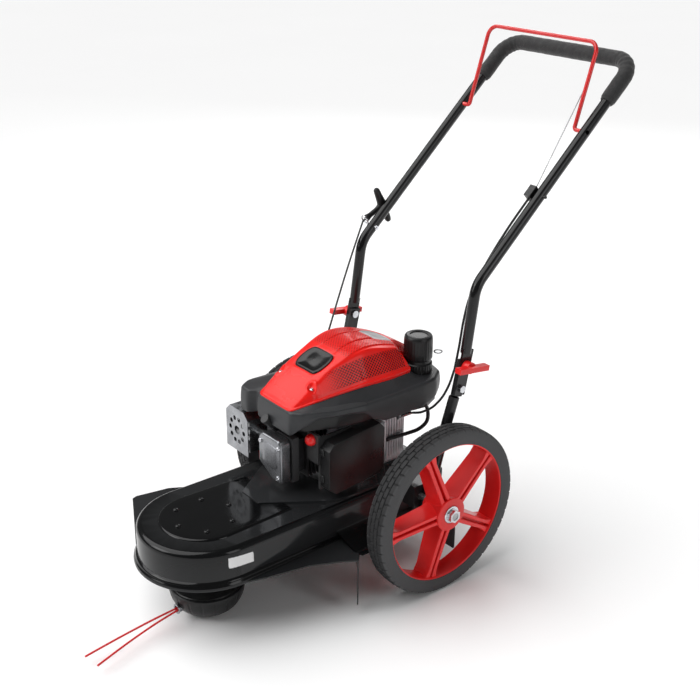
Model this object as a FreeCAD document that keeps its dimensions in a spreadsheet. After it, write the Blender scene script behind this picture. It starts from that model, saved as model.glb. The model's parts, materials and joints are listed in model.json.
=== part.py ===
"""Walk-behind wheeled string trimmer: petrol engine, belt-driven line head, folding handle.

Millimetres.  +Z up, the machine drives towards -Y and its left side is +X.  The origin is on
the ground under the middle of the machine's own box; the wheel axle lies on Y = axle_back.
"""
import FreeCAD, Part
import math
import os
import re

import Sketcher
from FreeCAD import Placement, Rotation, Vector

# Driving dimensions.  Every alias has an underscore, which is how bind() finds it.
DRIVING = (
    ("wheel_radius", 178.0), ("axle_high", 178.0), ("tyre_width", 46.0), ("tyre_depth", 30.0),
    ("rim_wall", 11.0), ("hub_radius", 34.0), ("hub_gap", 5.8), ("hub_length", 64.0),
    ("face_reach", 57.0),
    ("spoke_width", 26.0), ("spoke_depth", 16.0), ("axle_radius", 8.0), ("run_gap", 0.05),
    ("body_gap", 0.4), ("axle_back", 1.0), ("nut_height", 11.0),
    ("head_reach", 413.6), ("deck_half", 130.0), ("deck_top", 205.5), ("deck_low", 131.0),
    ("deck_rear", 92.0), ("sheet_wall", 2.5), ("deck_round", 12.0),
    ("pan_thick", 3.0), ("lip_radius", 138.0), ("pan_rear_half", 140.0),
    ("guard_radius", 301.0), ("guard_low", 72.0), ("guard_start", 45.0), ("guard_sweep", 94.0),
    ("tongue_low", 27.0), ("tongue_sweep", 4.5),
    ("flap_half", 188.0), ("flap_low", 33.0), ("flap_back", 78.0), ("flap_thick", 4.0),
    ("plate_thick", 5.0), ("crank_reach", 75.0), ("shaft_radius", 12.7),
    ("spindle_radius", 10.0), ("bearing_radius", 20.0), ("bearing_height", 11.0),
    ("housing_radius", 70.0), ("screw_circle", 59.3), ("screw_radius", 3.0),
    ("pulley_low", 136.0), ("pulley_high", 154.0), ("drive_pitch", 44.0), ("driven_pitch", 50.0),
    ("belt_half", 4.0), ("pulley_flange", 7.0), ("head_radius", 75.0), ("head_top", 62.0),
    ("head_low", 0.0), ("line_radius", 2.0),
    ("case_radius", 68.0), ("case_high", 300.0), ("cylinder_half", 42.0),
    ("cylinder_front", 232.0), ("cylinder_low", 236.0), ("cylinder_high", 332.0),
    ("valve_depth", 26.0), ("flywheel_radius", 88.0), ("flywheel_low", 354.0),
    ("shroud_low", 350.0), ("shroud_high", 400.0), ("shell_wall", 3.0), ("cowl_high", 484.0),
    ("reel_radius", 46.0), ("reel_low", 412.0),
    ("cap_left", 62.0), ("cap_back", 74.0), ("cap_radius", 30.0), ("cap_low", 403.0),
    ("cap_high", 484.0), ("neck_radius", 18.0),
    ("filter_in", 82.0), ("filter_out", 116.0), ("filter_front", 202.0), ("filter_rear", 58.0),
    ("bulb_radius", 12.0), ("bulb_high", 334.0), ("filter_low", 225.0), ("filter_high", 348.0),
    ("muffler_in", 78.0), ("muffler_out", 156.0), ("muffler_front", 256.0),
    ("muffler_low", 248.0), ("muffler_high", 344.0),
    ("tube_radius", 11.0), ("tube_wall", 1.5), ("leg_half", 175.2), ("leg_gap", 0.4),
    ("flat_thick", 5.4), ("flat_half", 14.0), ("bolt_radius", 4.0),
    ("pivot_back", 84.0), ("pivot_high", 402.7), ("knob_back", 94.0), ("knob_high", 449.6),
    ("knee_back", 116.3), ("knee_high", 611.9), ("bar_back", 535.6), ("bar_high", 1000.0),
    ("bar_bend", 45.0), ("knee_bend", 60.0), ("foam_radius", 16.0), ("foam_leg", 62.0),
    ("bail_radius", 4.25), ("bail_inset", 25.2), ("bail_reach", 186.680), ("bail_off", 3.825),
    ("bail_top_reach", 35.759), ("bail_top_off", 90.328), ("bail_bend", 22.0),
    ("clip_reach", 347.944), ("clip_off", 1.839), ("clip_bolt", 3.0),
    ("wire_reach", 94.832), ("wire_off", 44.172), ("guide_reach", 44.741), ("guide_off", 10.504),
    ("guide_gap", 10.8), ("guide_bolt_reach", 40.052), ("guide_bolt_off", -0.009),
    ("knob_span", 40.0), ("grip_span", 90.0), ("slot_sweep", 50.0), ("cable_radius", 2.5),
    ("rope_radius", 2.0),
)

# Sizes that follow from others: the wheels stand off the handle's legs and the bail hangs between them.
FOLLOWING = {
    "rim_radius": "(wheel_radius - tyre_depth)",
    "hub_inner": "(leg_half + tube_radius + hub_gap)",
    "hub_outer": "(leg_half + tube_radius + hub_gap + hub_length)",
    "tyre_face": "(leg_half + tube_radius + hub_gap + face_reach)",
    "bail_half": "(leg_half - bail_inset)",
}

doc = FreeCAD.newDocument("WheeledTrimmer")
sheet = doc.addObject("Spreadsheet::Sheet", "Sizes")
for row, (alias, value) in enumerate(DRIVING, 1):
    sheet.set(f"A{row}", alias)
    sheet.set(f"B{row}", str(value))
    sheet.setAlias(f"B{row}", alias)
doc.recompute()

SUBPARTS = []
LEFT = 1
RIGHT = -1


def spell_out(expression):
    """The expression with each following size written out in driving ones."""
    for name, meaning in FOLLOWING.items():
        expression = re.sub(rf"\b{name}\b", meaning, expression)
    return expression


def bind(expression):
    """The expression with each alias written as a cell of the sheet."""
    return re.sub(r"\b([a-z]+_[a-z_]+)\b", r"Sizes.\1", spell_out(str(expression)))


def number(expression):
    """What an expression of the sizes comes to."""
    if isinstance(expression, str):
        return float(sheet.evalExpression(spell_out(expression)))
    return float(expression)


def point(x, y, z):
    return Vector(number(x), number(y), number(z))


def keep(node, label):
    """Names a sub-part, which is then written to its own file."""
    node.Label = label
    SUBPARTS.append(node)
    return node


def set_bound(node, **sizes):
    for name, expression in sizes.items():
        node.setExpression(name.replace("__", "."), bind(expression))


# ---------------------------------------------------------------- sketches and bodies
def new_body(label, loose=False):
    body = doc.addObject("PartDesign::Body", "Body_" + label)
    body.AllowCompound = loose
    return keep(body, label)


def sketch_on(body, plane, height="0"):
    sketch = body.newObject("Sketcher::SketchObject", body.Name + "_outline")
    origin = [plane_ for plane_ in body.Origin.OriginFeatures if plane_.Role == plane][0]
    sketch.AttachmentSupport = (origin, [""])
    sketch.MapMode = "FlatFace"
    set_bound(sketch, AttachmentOffset__Base__z=height)
    return sketch


def hold_point(sketch, shape, end, place):
    """Pins one point of a sketch to a place given by two expressions."""
    for kind, axis, expression in (("DistanceX", -2, place[0]), ("DistanceY", -1, place[1])):
        value = number(expression)
        if abs(value) < 1e-9:
            sketch.addConstraint(Sketcher.Constraint("PointOnObject", shape, end, axis))
            continue
        index = sketch.addConstraint(Sketcher.Constraint(kind, -1, 1, shape, end, value))
        sketch.setExpression(f"Constraints[{index}]", bind(expression))


def draw_outline(sketch, corners):
    """A closed outline of straight sides through the given corners."""
    places = [Vector(number(x), number(y), 0) for x, y in corners]
    first = sketch.GeometryCount
    count = len(corners)
    for index in range(count):
        sketch.addGeometry(Part.LineSegment(places[index], places[(index + 1) % count]), False)
    for index in range(count):
        after = first + (index + 1) % count
        sketch.addConstraint(Sketcher.Constraint("Coincident", first + index, 2, after, 1))
        hold_point(sketch, first + index, 1, corners[index])


def draw_circle(sketch, x, y, radius):
    place = Vector(number(x), number(y), 0)
    index = sketch.addGeometry(Part.Circle(place, Vector(0, 0, 1), number(radius)), False)
    hold_point(sketch, index, 3, (x, y))
    held = sketch.addConstraint(Sketcher.Constraint("Radius", index, number(radius)))
    sketch.setExpression(f"Constraints[{held}]", bind(radius))


def draw_stadium(sketch, half, front, rear):
    """A half-round front about (0, front), straight sides and a square rear."""
    half_size, front_size, rear_size = number(half), number(front), number(rear)
    centre = Vector(0, front_size, 0)
    circle = Part.Circle(centre, Vector(0, 0, 1), half_size)
    nose = sketch.addGeometry(Part.ArcOfCircle(circle, math.pi, 2 * math.pi), False)
    places = (Vector(half_size, front_size, 0), Vector(half_size, rear_size, 0),
              Vector(-half_size, rear_size, 0), Vector(-half_size, front_size, 0))
    sides = [sketch.addGeometry(Part.LineSegment(start, end), False)
             for start, end in zip(places, places[1:])]
    chain = [nose] + sides
    for shape, after in zip(chain, chain[1:] + chain[:1]):
        sketch.addConstraint(Sketcher.Constraint("Coincident", shape, 2, after, 1))
    sketch.addConstraint(Sketcher.Constraint("Horizontal", sides[0], 1, sides[2], 2))
    hold_point(sketch, nose, 3, ("0", front))
    hold_point(sketch, sides[0], 2, (half, rear))
    hold_point(sketch, sides[1], 2, (f"-({half})", rear))
    hold_point(sketch, sides[0], 1, (half, front))


def pad(body, sketch, length, backwards=False):
    feature = body.newObject("PartDesign::Pad", body.Name + "_pad")
    feature.Profile = sketch
    feature.Reversed = backwards
    set_bound(feature, Length=length)
    return feature


def pocket(body, sketch, length, backwards=False):
    """Cuts into the body; the cut must take something away."""
    doc.recompute()
    before = body.Shape.Volume
    feature = body.newObject("PartDesign::Pocket", body.Name + "_pocket")
    feature.Profile = sketch
    feature.Reversed = backwards
    set_bound(feature, Length=length)
    doc.recompute()
    if body.Shape.Volume > before - 1e-3:
        raise ValueError(f"{body.Label}: a pocket cuts nothing")
    return feature


def slab(body, corners, low, high):
    """Adds a flat slab of the given outline from one height to another."""
    sketch = sketch_on(body, "XY_Plane", low)
    draw_outline(sketch, corners)
    return pad(body, sketch, f"({high}) - ({low})")


def disc(body, x, y, radius, low, high):
    sketch = sketch_on(body, "XY_Plane", low)
    draw_circle(sketch, x, y, radius)
    return pad(body, sketch, f"({high}) - ({low})")


def cut_slab(body, corners, low, high):
    sketch = sketch_on(body, "XY_Plane", low)
    draw_outline(sketch, corners)
    return pocket(body, sketch, f"({high}) - ({low})", backwards=True)


def cut_discs(body, places, radius, low, high):
    sketch = sketch_on(body, "XY_Plane", low)
    for x, y in places:
        draw_circle(sketch, x, y, radius)
    return pocket(body, sketch, f"({high}) - ({low})", backwards=True)


def rectangle(half, front, rear):
    """Corners of an upright rectangle, symmetrical about X = 0."""
    return ((f"-({half})", front), (half, front), (half, rear), (f"-({half})", rear))


def turned(label, profile, axis="Z", place=("0", "0", "0"), flip=False, angle=360):
    """A turned piece: (radius, height) corners spun about the chosen axis through place."""
    body = new_body(label)
    sketch = sketch_on(body, "XZ_Plane")
    draw_outline(sketch, profile)
    spin = body.newObject("PartDesign::Revolution", body.Name + "_spin")
    spin.Profile = sketch
    spin.ReferenceAxis = (sketch, ["V_Axis"])
    spin.Angle = angle
    turns = {"Z": Rotation(), "X": Rotation(Vector(0, 1, 0), 90), "Y": Rotation(Vector(1, 0, 0), 90)}
    turn = turns[axis]
    if flip:
        turn = Rotation(Vector(0, 0, 1), 180).multiply(turn)
    body.Placement = Placement(Vector(), turn)
    set_placed(body, place)
    return body


def set_placed(node, place):
    set_bound(node, Placement__Base__x=place[0], Placement__Base__y=place[1],
              Placement__Base__z=place[2])


def block(label, x, y, z):
    """A plain block between three pairs of limits."""
    node = doc.addObject("Part::Box", "Block_" + label)
    set_bound(node, Length=f"({x[1]}) - ({x[0]})", Width=f"({y[1]}) - ({y[0]})",
              Height=f"({z[1]}) - ({z[0]})")
    set_placed(node, (x[0], y[0], z[0]))
    return node


def rod(name, radius, length, place, axis="Z"):
    node = doc.addObject("Part::Cylinder", "Rod_" + name)
    turns = {"Z": Rotation(), "X": Rotation(Vector(0, 1, 0), 90), "Y": Rotation(Vector(1, 0, 0), -90)}
    node.Placement = Placement(Vector(), turns[axis])
    set_bound(node, Radius=radius, Height=length)
    set_placed(node, place)
    return node


def cut_from(label, base, tool):
    node = doc.addObject("Part::Cut", "Cut_" + label)
    node.Base = base
    node.Tool = tool
    return node


def fused(label, *pieces):
    node = doc.addObject("Part::MultiFuse", "Fuse_" + label)
    node.Shapes = list(pieces)
    return node


def shaped(label, shape):
    """A sub-part whose shape is worked out directly from the sheet's sizes."""
    node = doc.addObject("Part::Feature", "Shape_" + label)
    node.Shape = shape
    node.Placement = shape.Placement
    return keep(node, label)


# ---------------------------------------------------------------- bent tubes and cables
def rounded_path(points, bends=None):
    """Straight runs joined by tangent arcs; with no bends each arc is as large as it can be."""
    edges = []
    radii = []
    start = points[0]
    for turn_number, corner in enumerate(points[1:-1]):
        before, after = points[turn_number], points[turn_number + 2]
        back = before - corner
        ahead = after - corner
        turn = math.pi - back.getAngle(ahead)
        arc = 0.45 * min(back.Length, ahead.Length) / math.tan(turn / 2)
        if bends:
            arc = bends[turn_number]
        trim = arc * math.tan(turn / 2)
        first = corner + back.normalize() * trim
        last = corner + ahead.normalize() * trim
        middle_way = (back + ahead).normalize()
        middle = corner + middle_way * (arc / math.cos(turn / 2) - arc)
        edges.append(Part.LineSegment(start, first).toShape())
        edges.append(Part.Arc(first, middle, last).toShape())
        radii.append(arc)
        start = last
    edges.append(Part.LineSegment(start, points[-1]).toShape())
    return Part.Wire(edges), radii


def pipe(points, radius, bends=None, bore=0.0):
    """A round bar or tube along a bent path."""
    path, radii = rounded_path(points, bends)
    along = (points[1] - points[0]).normalize()
    shape = sweep_round(path, points[0], along, radius)
    if bore:
        shape = shape.cut(sweep_round(path, points[0], along, bore))
    return shape, path.Length, radii


def sweep_round(path, start, along, radius):
    ring = Part.Wire([Part.Circle(start, along, radius).toShape()])
    return path.makePipeShell([ring], True, False)


def held_cable(label, points, radius):
    """A cable or cord in one piece; its volume and bends are checked and printed."""
    shape, length, radii = pipe(points, radius)
    expected = math.pi * radius ** 2 * length
    if abs(shape.Volume / expected - 1) > 0.01:
        raise ValueError(f"{label}: swept volume is wrong")
    print(f"{label}: length {length:.1f}, bend radii {[round(value, 1) for value in radii]}")
    return shaped(label, shape)


def from_to(start, end, radius):
    """A round bar between two points."""
    along = end - start
    return Part.makeCylinder(radius, along.Length, start, along)


def hexagon_bar(centre, along, across, length):
    """A hexagonal bar, as of a bolt's head or a nut."""
    reach = across / math.sqrt(3)
    corners = [Vector(reach * math.cos(math.radians(60 * k)), reach * math.sin(math.radians(60 * k)), 0)
               for k in range(7)]
    bar = Part.Face(Part.makePolygon(corners)).extrude(Vector(0, 0, length))
    bar.Placement = Placement(centre, Rotation(Vector(0, 0, 1), along))
    return bar


# ---------------------------------------------------------------- wheels and axle
def make_wheels():
    for side, word in ((LEFT, "left"), (RIGHT, "right")):
        place = ("0", "axle_back", "axle_high")
        turned("tyre_" + word, (
            ("rim_radius", "tyre_face - tyre_width"), ("wheel_radius - 7", "tyre_face - tyre_width"),
            ("wheel_radius", "tyre_face - tyre_width + 6"), ("wheel_radius", "tyre_face - 6"),
            ("wheel_radius - 7", "tyre_face"), ("rim_radius", "tyre_face")),
            "X", place, side == RIGHT)
        make_rim(word, place, side == RIGHT)


def make_rim(word, place, flip):
    """Spoked wheel: bored hub, channel rim and five spokes leaning out from rim to hub."""
    bore = "axle_radius + run_gap"
    rim_in = "rim_radius - rim_wall"
    face_in = "tyre_face - tyre_width"
    body = turned("rim_" + word, (
        (bore, "hub_inner"), ("hub_radius + 4", "hub_inner"), ("hub_radius", "hub_outer"),
        (bore, "hub_outer")), "X", place, flip)
    body.AllowCompound = True
    ring = sketch_on(body, "XZ_Plane")
    draw_outline(ring, ((rim_in, f"{face_in} + 4"), ("rim_radius", f"{face_in} + 4"),
                        ("rim_radius", "tyre_face - 3"), (rim_in, "tyre_face - 3")))
    spin = body.newObject("PartDesign::Revolution", body.Name + "_ring")
    spin.Profile = ring
    spin.ReferenceAxis = (ring, ["V_Axis"])
    spin.Angle = 360
    spoke = sketch_on(body, "XZ_Plane", "-spoke_width / 2")
    inner = "hub_radius - 3"
    outer = "rim_radius - rim_wall + 2"
    draw_outline(spoke, ((inner, "hub_outer - 4 - spoke_depth * 1.6"), (inner, "hub_outer - 4"),
                         (outer, "tyre_face - 8"), (outer, "tyre_face - 8 - spoke_depth")))
    arm = pad(body, spoke, "spoke_width")
    doc.recompute()
    pattern = body.newObject("PartDesign::PolarPattern", body.Name + "_spokes")
    pattern.Originals = [arm]
    pattern.Axis = (ring, ["V_Axis"])
    pattern.Angle = 360
    pattern.Occurrences = 5
    body.Tip = pattern


def make_axle():
    half = "hub_outer + body_gap + nut_height - 1"
    keep(rod("axle", "axle_radius", f"2 * ({half})", (f"-({half})", "axle_back", "axle_high"), "X"),
         "axle")
    start = number("hub_outer + body_gap")
    nuts = []
    for side in (LEFT, RIGHT):
        centre = point("0", "axle_back", "axle_high") + Vector(side * start, 0, 0)
        nut = hexagon_bar(centre, Vector(side, 0, 0), 24, number("nut_height"))
        washer = Part.makeCylinder(15, 2, centre, Vector(side, 0, 0))
        bore = from_to(centre - Vector(side, 0, 0), centre + Vector(side * 40, 0, 0), number("axle_radius"))
        nuts.append(nut.fuse(washer).cut(bore))
    shaped("wheel_nuts", Part.makeCompound(nuts))


def make_axle_mounts():
    """Welded spacers that carry the axle between the deck's side walls and the handle tubes."""
    mounts = []
    near = number("deck_half")
    far = number("leg_half - tube_radius")
    for side in (LEFT, RIGHT):
        low = min(side * near, side * far)
        box = Part.makeBox(far - near, 44, 50, point(low, "axle_back - 17", "axle_high - 24"))
        hole = from_to(point(low - 1, "axle_back", "axle_high"),
                       point(low + far - near + 1, "axle_back", "axle_high"), number("axle_radius"))
        mounts.append(box.cut(hole))
    shaped("axle_mounts", Part.makeCompound(mounts))


# ---------------------------------------------------------------- deck, pan and guards
def make_deck_shell():
    """Pressed cover over the belt: half-round nose, straight sides, open underneath."""
    body = new_body("deck_shell")
    outside = sketch_on(body, "XY_Plane", "deck_low")
    draw_stadium(outside, "deck_half", "-head_reach", "deck_rear")
    pad(body, outside, "deck_top - deck_low")
    doc.recompute()
    round_top(body, number("deck_top"), "deck_round")
    ceiling = "deck_top - sheet_wall"
    inside = sketch_on(body, "XY_Plane", "deck_low")
    draw_stadium(inside, "deck_half - deck_round / 2", "-head_reach", "deck_rear - deck_round / 2")
    pocket(body, inside, "deck_top - sheet_wall - deck_low", backwards=True)
    lower = sketch_on(body, "XY_Plane", "deck_low")
    draw_stadium(lower, "deck_half - sheet_wall", "-head_reach", "deck_rear - sheet_wall")
    pocket(body, lower, "deck_top - deck_round - deck_low", backwards=True)
    cut_discs(body, (("0", "-crank_reach"),), "shaft_radius + 12", ceiling, "deck_top")
    cut_discs(body, screw_places(), "screw_radius", ceiling, "deck_top")
    hole = sketch_on(body, "YZ_Plane", "-deck_half - 1")
    draw_circle(hole, "axle_back", "axle_high", "axle_radius")
    pocket(body, hole, "2 * deck_half + 2", backwards=True)


def round_top(body, height, radius):
    """Rounds the edges round the top face."""
    base = body.Tip
    edges = []
    for index, edge in enumerate(base.Shape.Edges, 1):
        if all(abs(vertex.Z - height) < 1e-3 for vertex in edge.Vertexes):
            edges.append(f"Edge{index}")
    feature = body.newObject("PartDesign::Fillet", body.Name + "_round")
    feature.Base = (base, edges)
    set_bound(feature, Radius=radius)
    doc.recompute()


def screw_places():
    """The six screws of the bearing housing, evenly round the head's axis."""
    places = []
    for k in range(6):
        angle = 33.0 + 60 * k
        places.append((f"screw_circle * cos({angle})", f"-head_reach + screw_circle * sin({angle})"))
    return places


def guard_arc(radius, start, sweep, count):
    """Points along an arc about the head's axis, in degrees from +X towards +Y."""
    places = []
    for k in range(count):
        angle = f"({start} + ({sweep}) * {k} / {count - 1})"
        places.append((f"({radius}) * cos({angle})", f"-head_reach + ({radius}) * sin({angle})"))
    return places


def make_deck_pan():
    """Flat pan under the cover: lip round the nose, wing on the right, arc along the guard."""
    body = new_body("deck_pan")
    low = "deck_low - pan_thick"
    disc(body, "0", "-head_reach", "lip_radius", low, "deck_low")
    arc = guard_arc("guard_radius", "guard_start", "guard_sweep", 11)
    left_edge = (("lip_radius - 1", "-head_reach"), ("150", "42.6 - head_reach"),
                 ("168", "128.6 - head_reach"), ("196", "187.6 - head_reach"))
    right_edge = (("-212", "129.6 - head_reach"), ("-249", "64.6 - head_reach"),
                  ("-262", "-6.4 - head_reach"), ("-258", "-17.4 - head_reach"),
                  ("-96", "-99.4 - head_reach"))
    corners = left_edge + tuple(arc) + right_edge
    slab(body, corners, low, "deck_low")
    slab(body, rectangle("pan_rear_half", "-guard_radius", "deck_rear"), low, "deck_low")
    cut_discs(body, (("0", "-head_reach"),), "spindle_radius + 22", low, "deck_low")


def make_rear_guard():
    """Sheet wall behind the line's circle, with a tongue that comes down at its left end."""
    body = turned("rear_guard", (
        ("guard_radius - sheet_wall", "guard_low"), ("guard_radius", "guard_low"),
        ("guard_radius", "deck_low - pan_thick"), ("guard_radius - sheet_wall", "deck_low - pan_thick")),
        angle=360)
    spin = body.Tip
    spin.setExpression("Angle", bind("guard_sweep"))
    tongue = sketch_on(body, "XZ_Plane")
    draw_outline(tongue, (("guard_radius - sheet_wall", "tongue_low"), ("guard_radius", "tongue_low"),
                          ("guard_radius", "guard_low + 20"),
                          ("guard_radius - sheet_wall", "guard_low + 20")))
    drop = body.newObject("PartDesign::Revolution", body.Name + "_tongue")
    drop.Profile = tongue
    drop.ReferenceAxis = (tongue, ["V_Axis"])
    drop.setExpression("Angle", bind("tongue_sweep"))
    body.Placement = Placement(Vector(), Rotation(Vector(0, 0, 1), number("guard_start")))
    set_placed(body, ("0", "-head_reach", "0"))


def make_rear_flap():
    keep(block("rear_flap", ("-flap_half", "flap_half"), ("flap_back", "flap_back + flap_thick"),
               ("flap_low", "deck_low - pan_thick")), "rear_flap")


# ---------------------------------------------------------------- line head and its drive
def make_bearing_housing():
    """Flanged barrel under the deck's nose, bored for the spindle's two bearings."""
    top = "deck_top - sheet_wall"
    body = turned("bearing_housing", (
        ("bearing_radius", "pulley_high + 5"), ("bearing_radius + 7", "pulley_high + 5"),
        ("bearing_radius + 7", f"{top} - 8"), ("housing_radius", f"{top} - 8"),
        ("housing_radius", top), ("bearing_radius", top)), place=("0", "-head_reach", "0"))
    sketch = sketch_on(body, "XY_Plane", f"{top} - 8")
    for x, y in screw_places():
        draw_circle(sketch, x, f"{y} + head_reach", "screw_radius")
    pocket(body, sketch, "8", backwards=True)


def make_housing_screws():
    """Dome-headed screws through the deck into the bearing housing."""
    body = new_body("housing_screws", loose=True)
    shank = sketch_on(body, "XY_Plane", "deck_top - sheet_wall - 8")
    dome = sketch_on(body, "XY_Plane", "deck_top")
    for x, y in screw_places():
        draw_circle(shank, x, y, "screw_radius")
        draw_circle(dome, x, y, "screw_radius * 1.8")
    pad(body, shank, "sheet_wall + 8")
    pad(body, dome, "3.5")


def make_spindle_bearings():
    """Two ball bearings, each one ring, in the housing's bore."""
    rings = []
    for low in (number("pulley_high + 6"), number("deck_top - sheet_wall - 2 - bearing_height")):
        centre = point("0", "-head_reach", low)
        outer = Part.makeCylinder(number("bearing_radius"), number("bearing_height"), centre)
        bore = Part.makeCylinder(number("spindle_radius + run_gap"), number("bearing_height"), centre)
        rings.append(outer.cut(bore))
    shaped("spindle_bearings", Part.makeCompound(rings))


def make_spindle():
    turned("spindle", (
        ("0", "head_top"), ("spindle_radius", "head_top"), ("spindle_radius", "deck_top - sheet_wall - 1.5"),
        ("0", "deck_top - sheet_wall - 1.5")), place=("0", "-head_reach", "0"))


def make_pulley(label, bore, pitch, back):
    """A V pulley: two flanges with a groove between them."""
    edge = f"{pitch} + pulley_flange"
    floor = f"{pitch} - belt_half - 1"
    turned(label, (
        (bore, "pulley_low"), (edge, "pulley_low"), (edge, "pulley_low + 2"), (floor, "pulley_low + 4.5"),
        (floor, "pulley_high - 4.5"), (edge, "pulley_high - 2"), (edge, "pulley_high"),
        (bore, "pulley_high")),
        place=("0", back, "0"))


def belt_outline(extra):
    """The loop round both pulleys at a distance from the pitch line, as a face."""
    front = number("driven_pitch") + extra
    rear = number("drive_pitch") + extra
    reach = number("head_reach - crank_reach")
    lean = math.asin((front - rear) / reach)
    head = point("0", "-head_reach", "0")
    crank = point("0", "-crank_reach", "0")
    across = [Vector(side * math.cos(lean), math.sin(lean), 0) for side in (LEFT, RIGHT)]
    left_front, right_front = head + across[0] * front, head + across[1] * front
    left_rear, right_rear = crank + across[0] * rear, crank + across[1] * rear
    edges = [Part.LineSegment(left_rear, left_front).toShape(),
             Part.Arc(left_front, head - Vector(0, front, 0), right_front).toShape(),
             Part.LineSegment(right_front, right_rear).toShape(),
             Part.Arc(right_rear, crank + Vector(0, rear, 0), left_rear).toShape()]
    return Part.Face(Part.Wire(edges))


def make_drive_belt():
    half = number("belt_half")
    face = belt_outline(half).cut(belt_outline(-half))
    low = number("pulley_low + pulley_high") / 2 - half
    belt = face.extrude(Vector(0, 0, 2 * half))
    belt.translate(Vector(0, 0, low))
    shaped("drive_belt", belt)


def make_line_head():
    """Cup that glides over the ground and throws the lines out of its eyelet."""
    body = turned("line_head", (
        ("0", "head_low"), ("head_radius * 0.4", "head_low"), ("head_radius * 0.72", "head_low + 8"),
        ("head_radius * 0.93", "head_low + 22"), ("head_radius", "head_low + 40"),
        ("head_radius", "head_top - 6"), ("head_radius - 8", "head_top"), ("0", "head_top")),
        place=("0", "-head_reach", "0"))
    hole = sketch_on(body, "XZ_Plane", "head_radius * 0.6")
    draw_circle(hole, "8", "head_low + 30", "8.5")
    pocket(body, hole, "head_radius", backwards=True)
    eyelet = doc.addObject("Part::Feature", "Shape_line_eyelet")
    back = number("head_reach") + number("head_radius") - 1
    centre = Vector(8, -back, number("head_low + 30"))
    outer = Part.makeCylinder(8.4, 13, centre, Vector(0, 1, 0))
    flange = Part.makeCylinder(10.5, 2, centre - Vector(0, 2, 0), Vector(0, 1, 0))
    bore = Part.makeCylinder(6.8, 30, centre - Vector(0, 5, 0), Vector(0, 1, 0))
    eyelet.Shape = outer.fuse(flange).cut(bore)
    keep(eyelet, "line_eyelet")


def make_lines():
    """Two nylon lines that lie side by side out of the eyelet, slightly bowed."""
    back = number("head_reach + head_radius") - 14
    routes = {
        "line_right": ((5.6, 0.0, 30.0), (6.5, -52.0, 28.4), (9.4, -106.0, 26.0), (13.0, -160.0, 23.2),
                       (17.6, -215.0, 19.8)),
        "line_left": ((10.4, 0.0, 30.0), (17.4, -52.0, 28.2), (28.0, -105.0, 25.6), (40.4, -157.0, 22.8),
                      (54.6, -209.0, 19.6)),
    }
    for label, route in routes.items():
        points = [Vector(x, y - back, z) for x, y, z in route]
        held_cable(label, points, number("line_radius"))


# ---------------------------------------------------------------- engine
def make_engine_plate():
    """Stiffening plate on the deck under the engine, with a pointed front."""
    body = new_body("engine_plate")
    top = "deck_top + plate_thick"
    corners = (("-28", "-306"), ("28", "-306"), ("104", "-196"), ("118", "-150"), ("118", "deck_rear - 14"),
               ("-118", "deck_rear - 14"), ("-118", "-150"), ("-104", "-196"))
    slab(body, corners, "deck_top", top)
    cut_discs(body, (("0", "-crank_reach"),), "shaft_radius + 12", "deck_top", top)
    cut_discs(body, engine_bolt_places(), "bolt_radius", "deck_top", top)


def engine_bolt_places():
    places = []
    for angle in (45, 135, 225, 315):
        places.append((f"(case_radius + 14) * cos({angle})",
                       f"-crank_reach + (case_radius + 14) * sin({angle})"))
    return places


def make_engine_bolts():
    body = new_body("engine_bolts", loose=True)
    shank = sketch_on(body, "XY_Plane", "deck_top")
    head = sketch_on(body, "XY_Plane", "deck_top + plate_thick + 10")
    for x, y in engine_bolt_places():
        draw_circle(shank, x, y, "bolt_radius")
        draw_circle(head, x, y, "bolt_radius * 1.7")
    pad(body, shank, "plate_thick + 10")
    pad(body, head, "5.5")


def make_crankcase():
    """Cast crankcase with a bolting flange, bored for the crankshaft and hollow inside."""
    low = "deck_top + plate_thick"
    bore = "shaft_radius + run_gap"
    body = turned("crankcase", (
        (bore, low), ("case_radius + 24", low), ("case_radius + 24", f"{low} + 10"),
        ("case_radius + 4", f"{low} + 10"), ("case_radius", f"{low} + 14"),
        ("case_radius", "case_high - 12"), ("case_radius - 12", "case_high"),
        ("40", "case_high + 22"), (bore, "case_high + 22"), (bore, "case_high + 10"),
        ("34", "case_high + 10"), ("case_radius - 14", "case_high - 10"), ("case_radius - 10", f"{low} + 14"),
        (bore, f"{low} + 14")), place=("0", "-crank_reach", "0"))
    holes = sketch_on(body, "XY_Plane", low)
    for x, y in engine_bolt_places():
        draw_circle(holes, x, f"{y} + crank_reach", "bolt_radius")
    pocket(body, holes, "10", backwards=True)


def make_cylinder():
    """Cylinder and head in one casting, with cooling fins round it."""
    body = new_body("cylinder")
    start = "crank_reach + case_radius - 4"
    core = sketch_on(body, "XZ_Plane", start)
    half = "(cylinder_half - 12)"
    draw_outline(core, ((f"-{half}", "cylinder_low + 12"), (half, "cylinder_low + 12"),
                        (half, "cylinder_high - 12"), (f"-{half}", "cylinder_high - 12")))
    pad(body, core, f"cylinder_front - ({start})")
    fin = sketch_on(body, "XZ_Plane", f"{start} + 8")
    draw_outline(fin, (("-cylinder_half", "cylinder_low"), ("cylinder_half", "cylinder_low"),
                       ("cylinder_half", "cylinder_high"), ("-cylinder_half", "cylinder_high")))
    plate = pad(body, fin, "3")
    head = sketch_on(body, "XZ_Plane", "cylinder_front - 16")
    draw_outline(head, (("-cylinder_half", "cylinder_low"), ("cylinder_half", "cylinder_low"),
                        ("cylinder_half", "cylinder_high"), ("-cylinder_half", "cylinder_high")))
    pad(body, head, "16")
    doc.recompute()
    pattern = body.newObject("PartDesign::LinearPattern", body.Name + "_fins")
    pattern.Originals = [plate]
    pattern.Direction = (core, ["N_Axis"])
    pattern.Length = 45
    pattern.Occurrences = 6
    body.Tip = pattern


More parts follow.
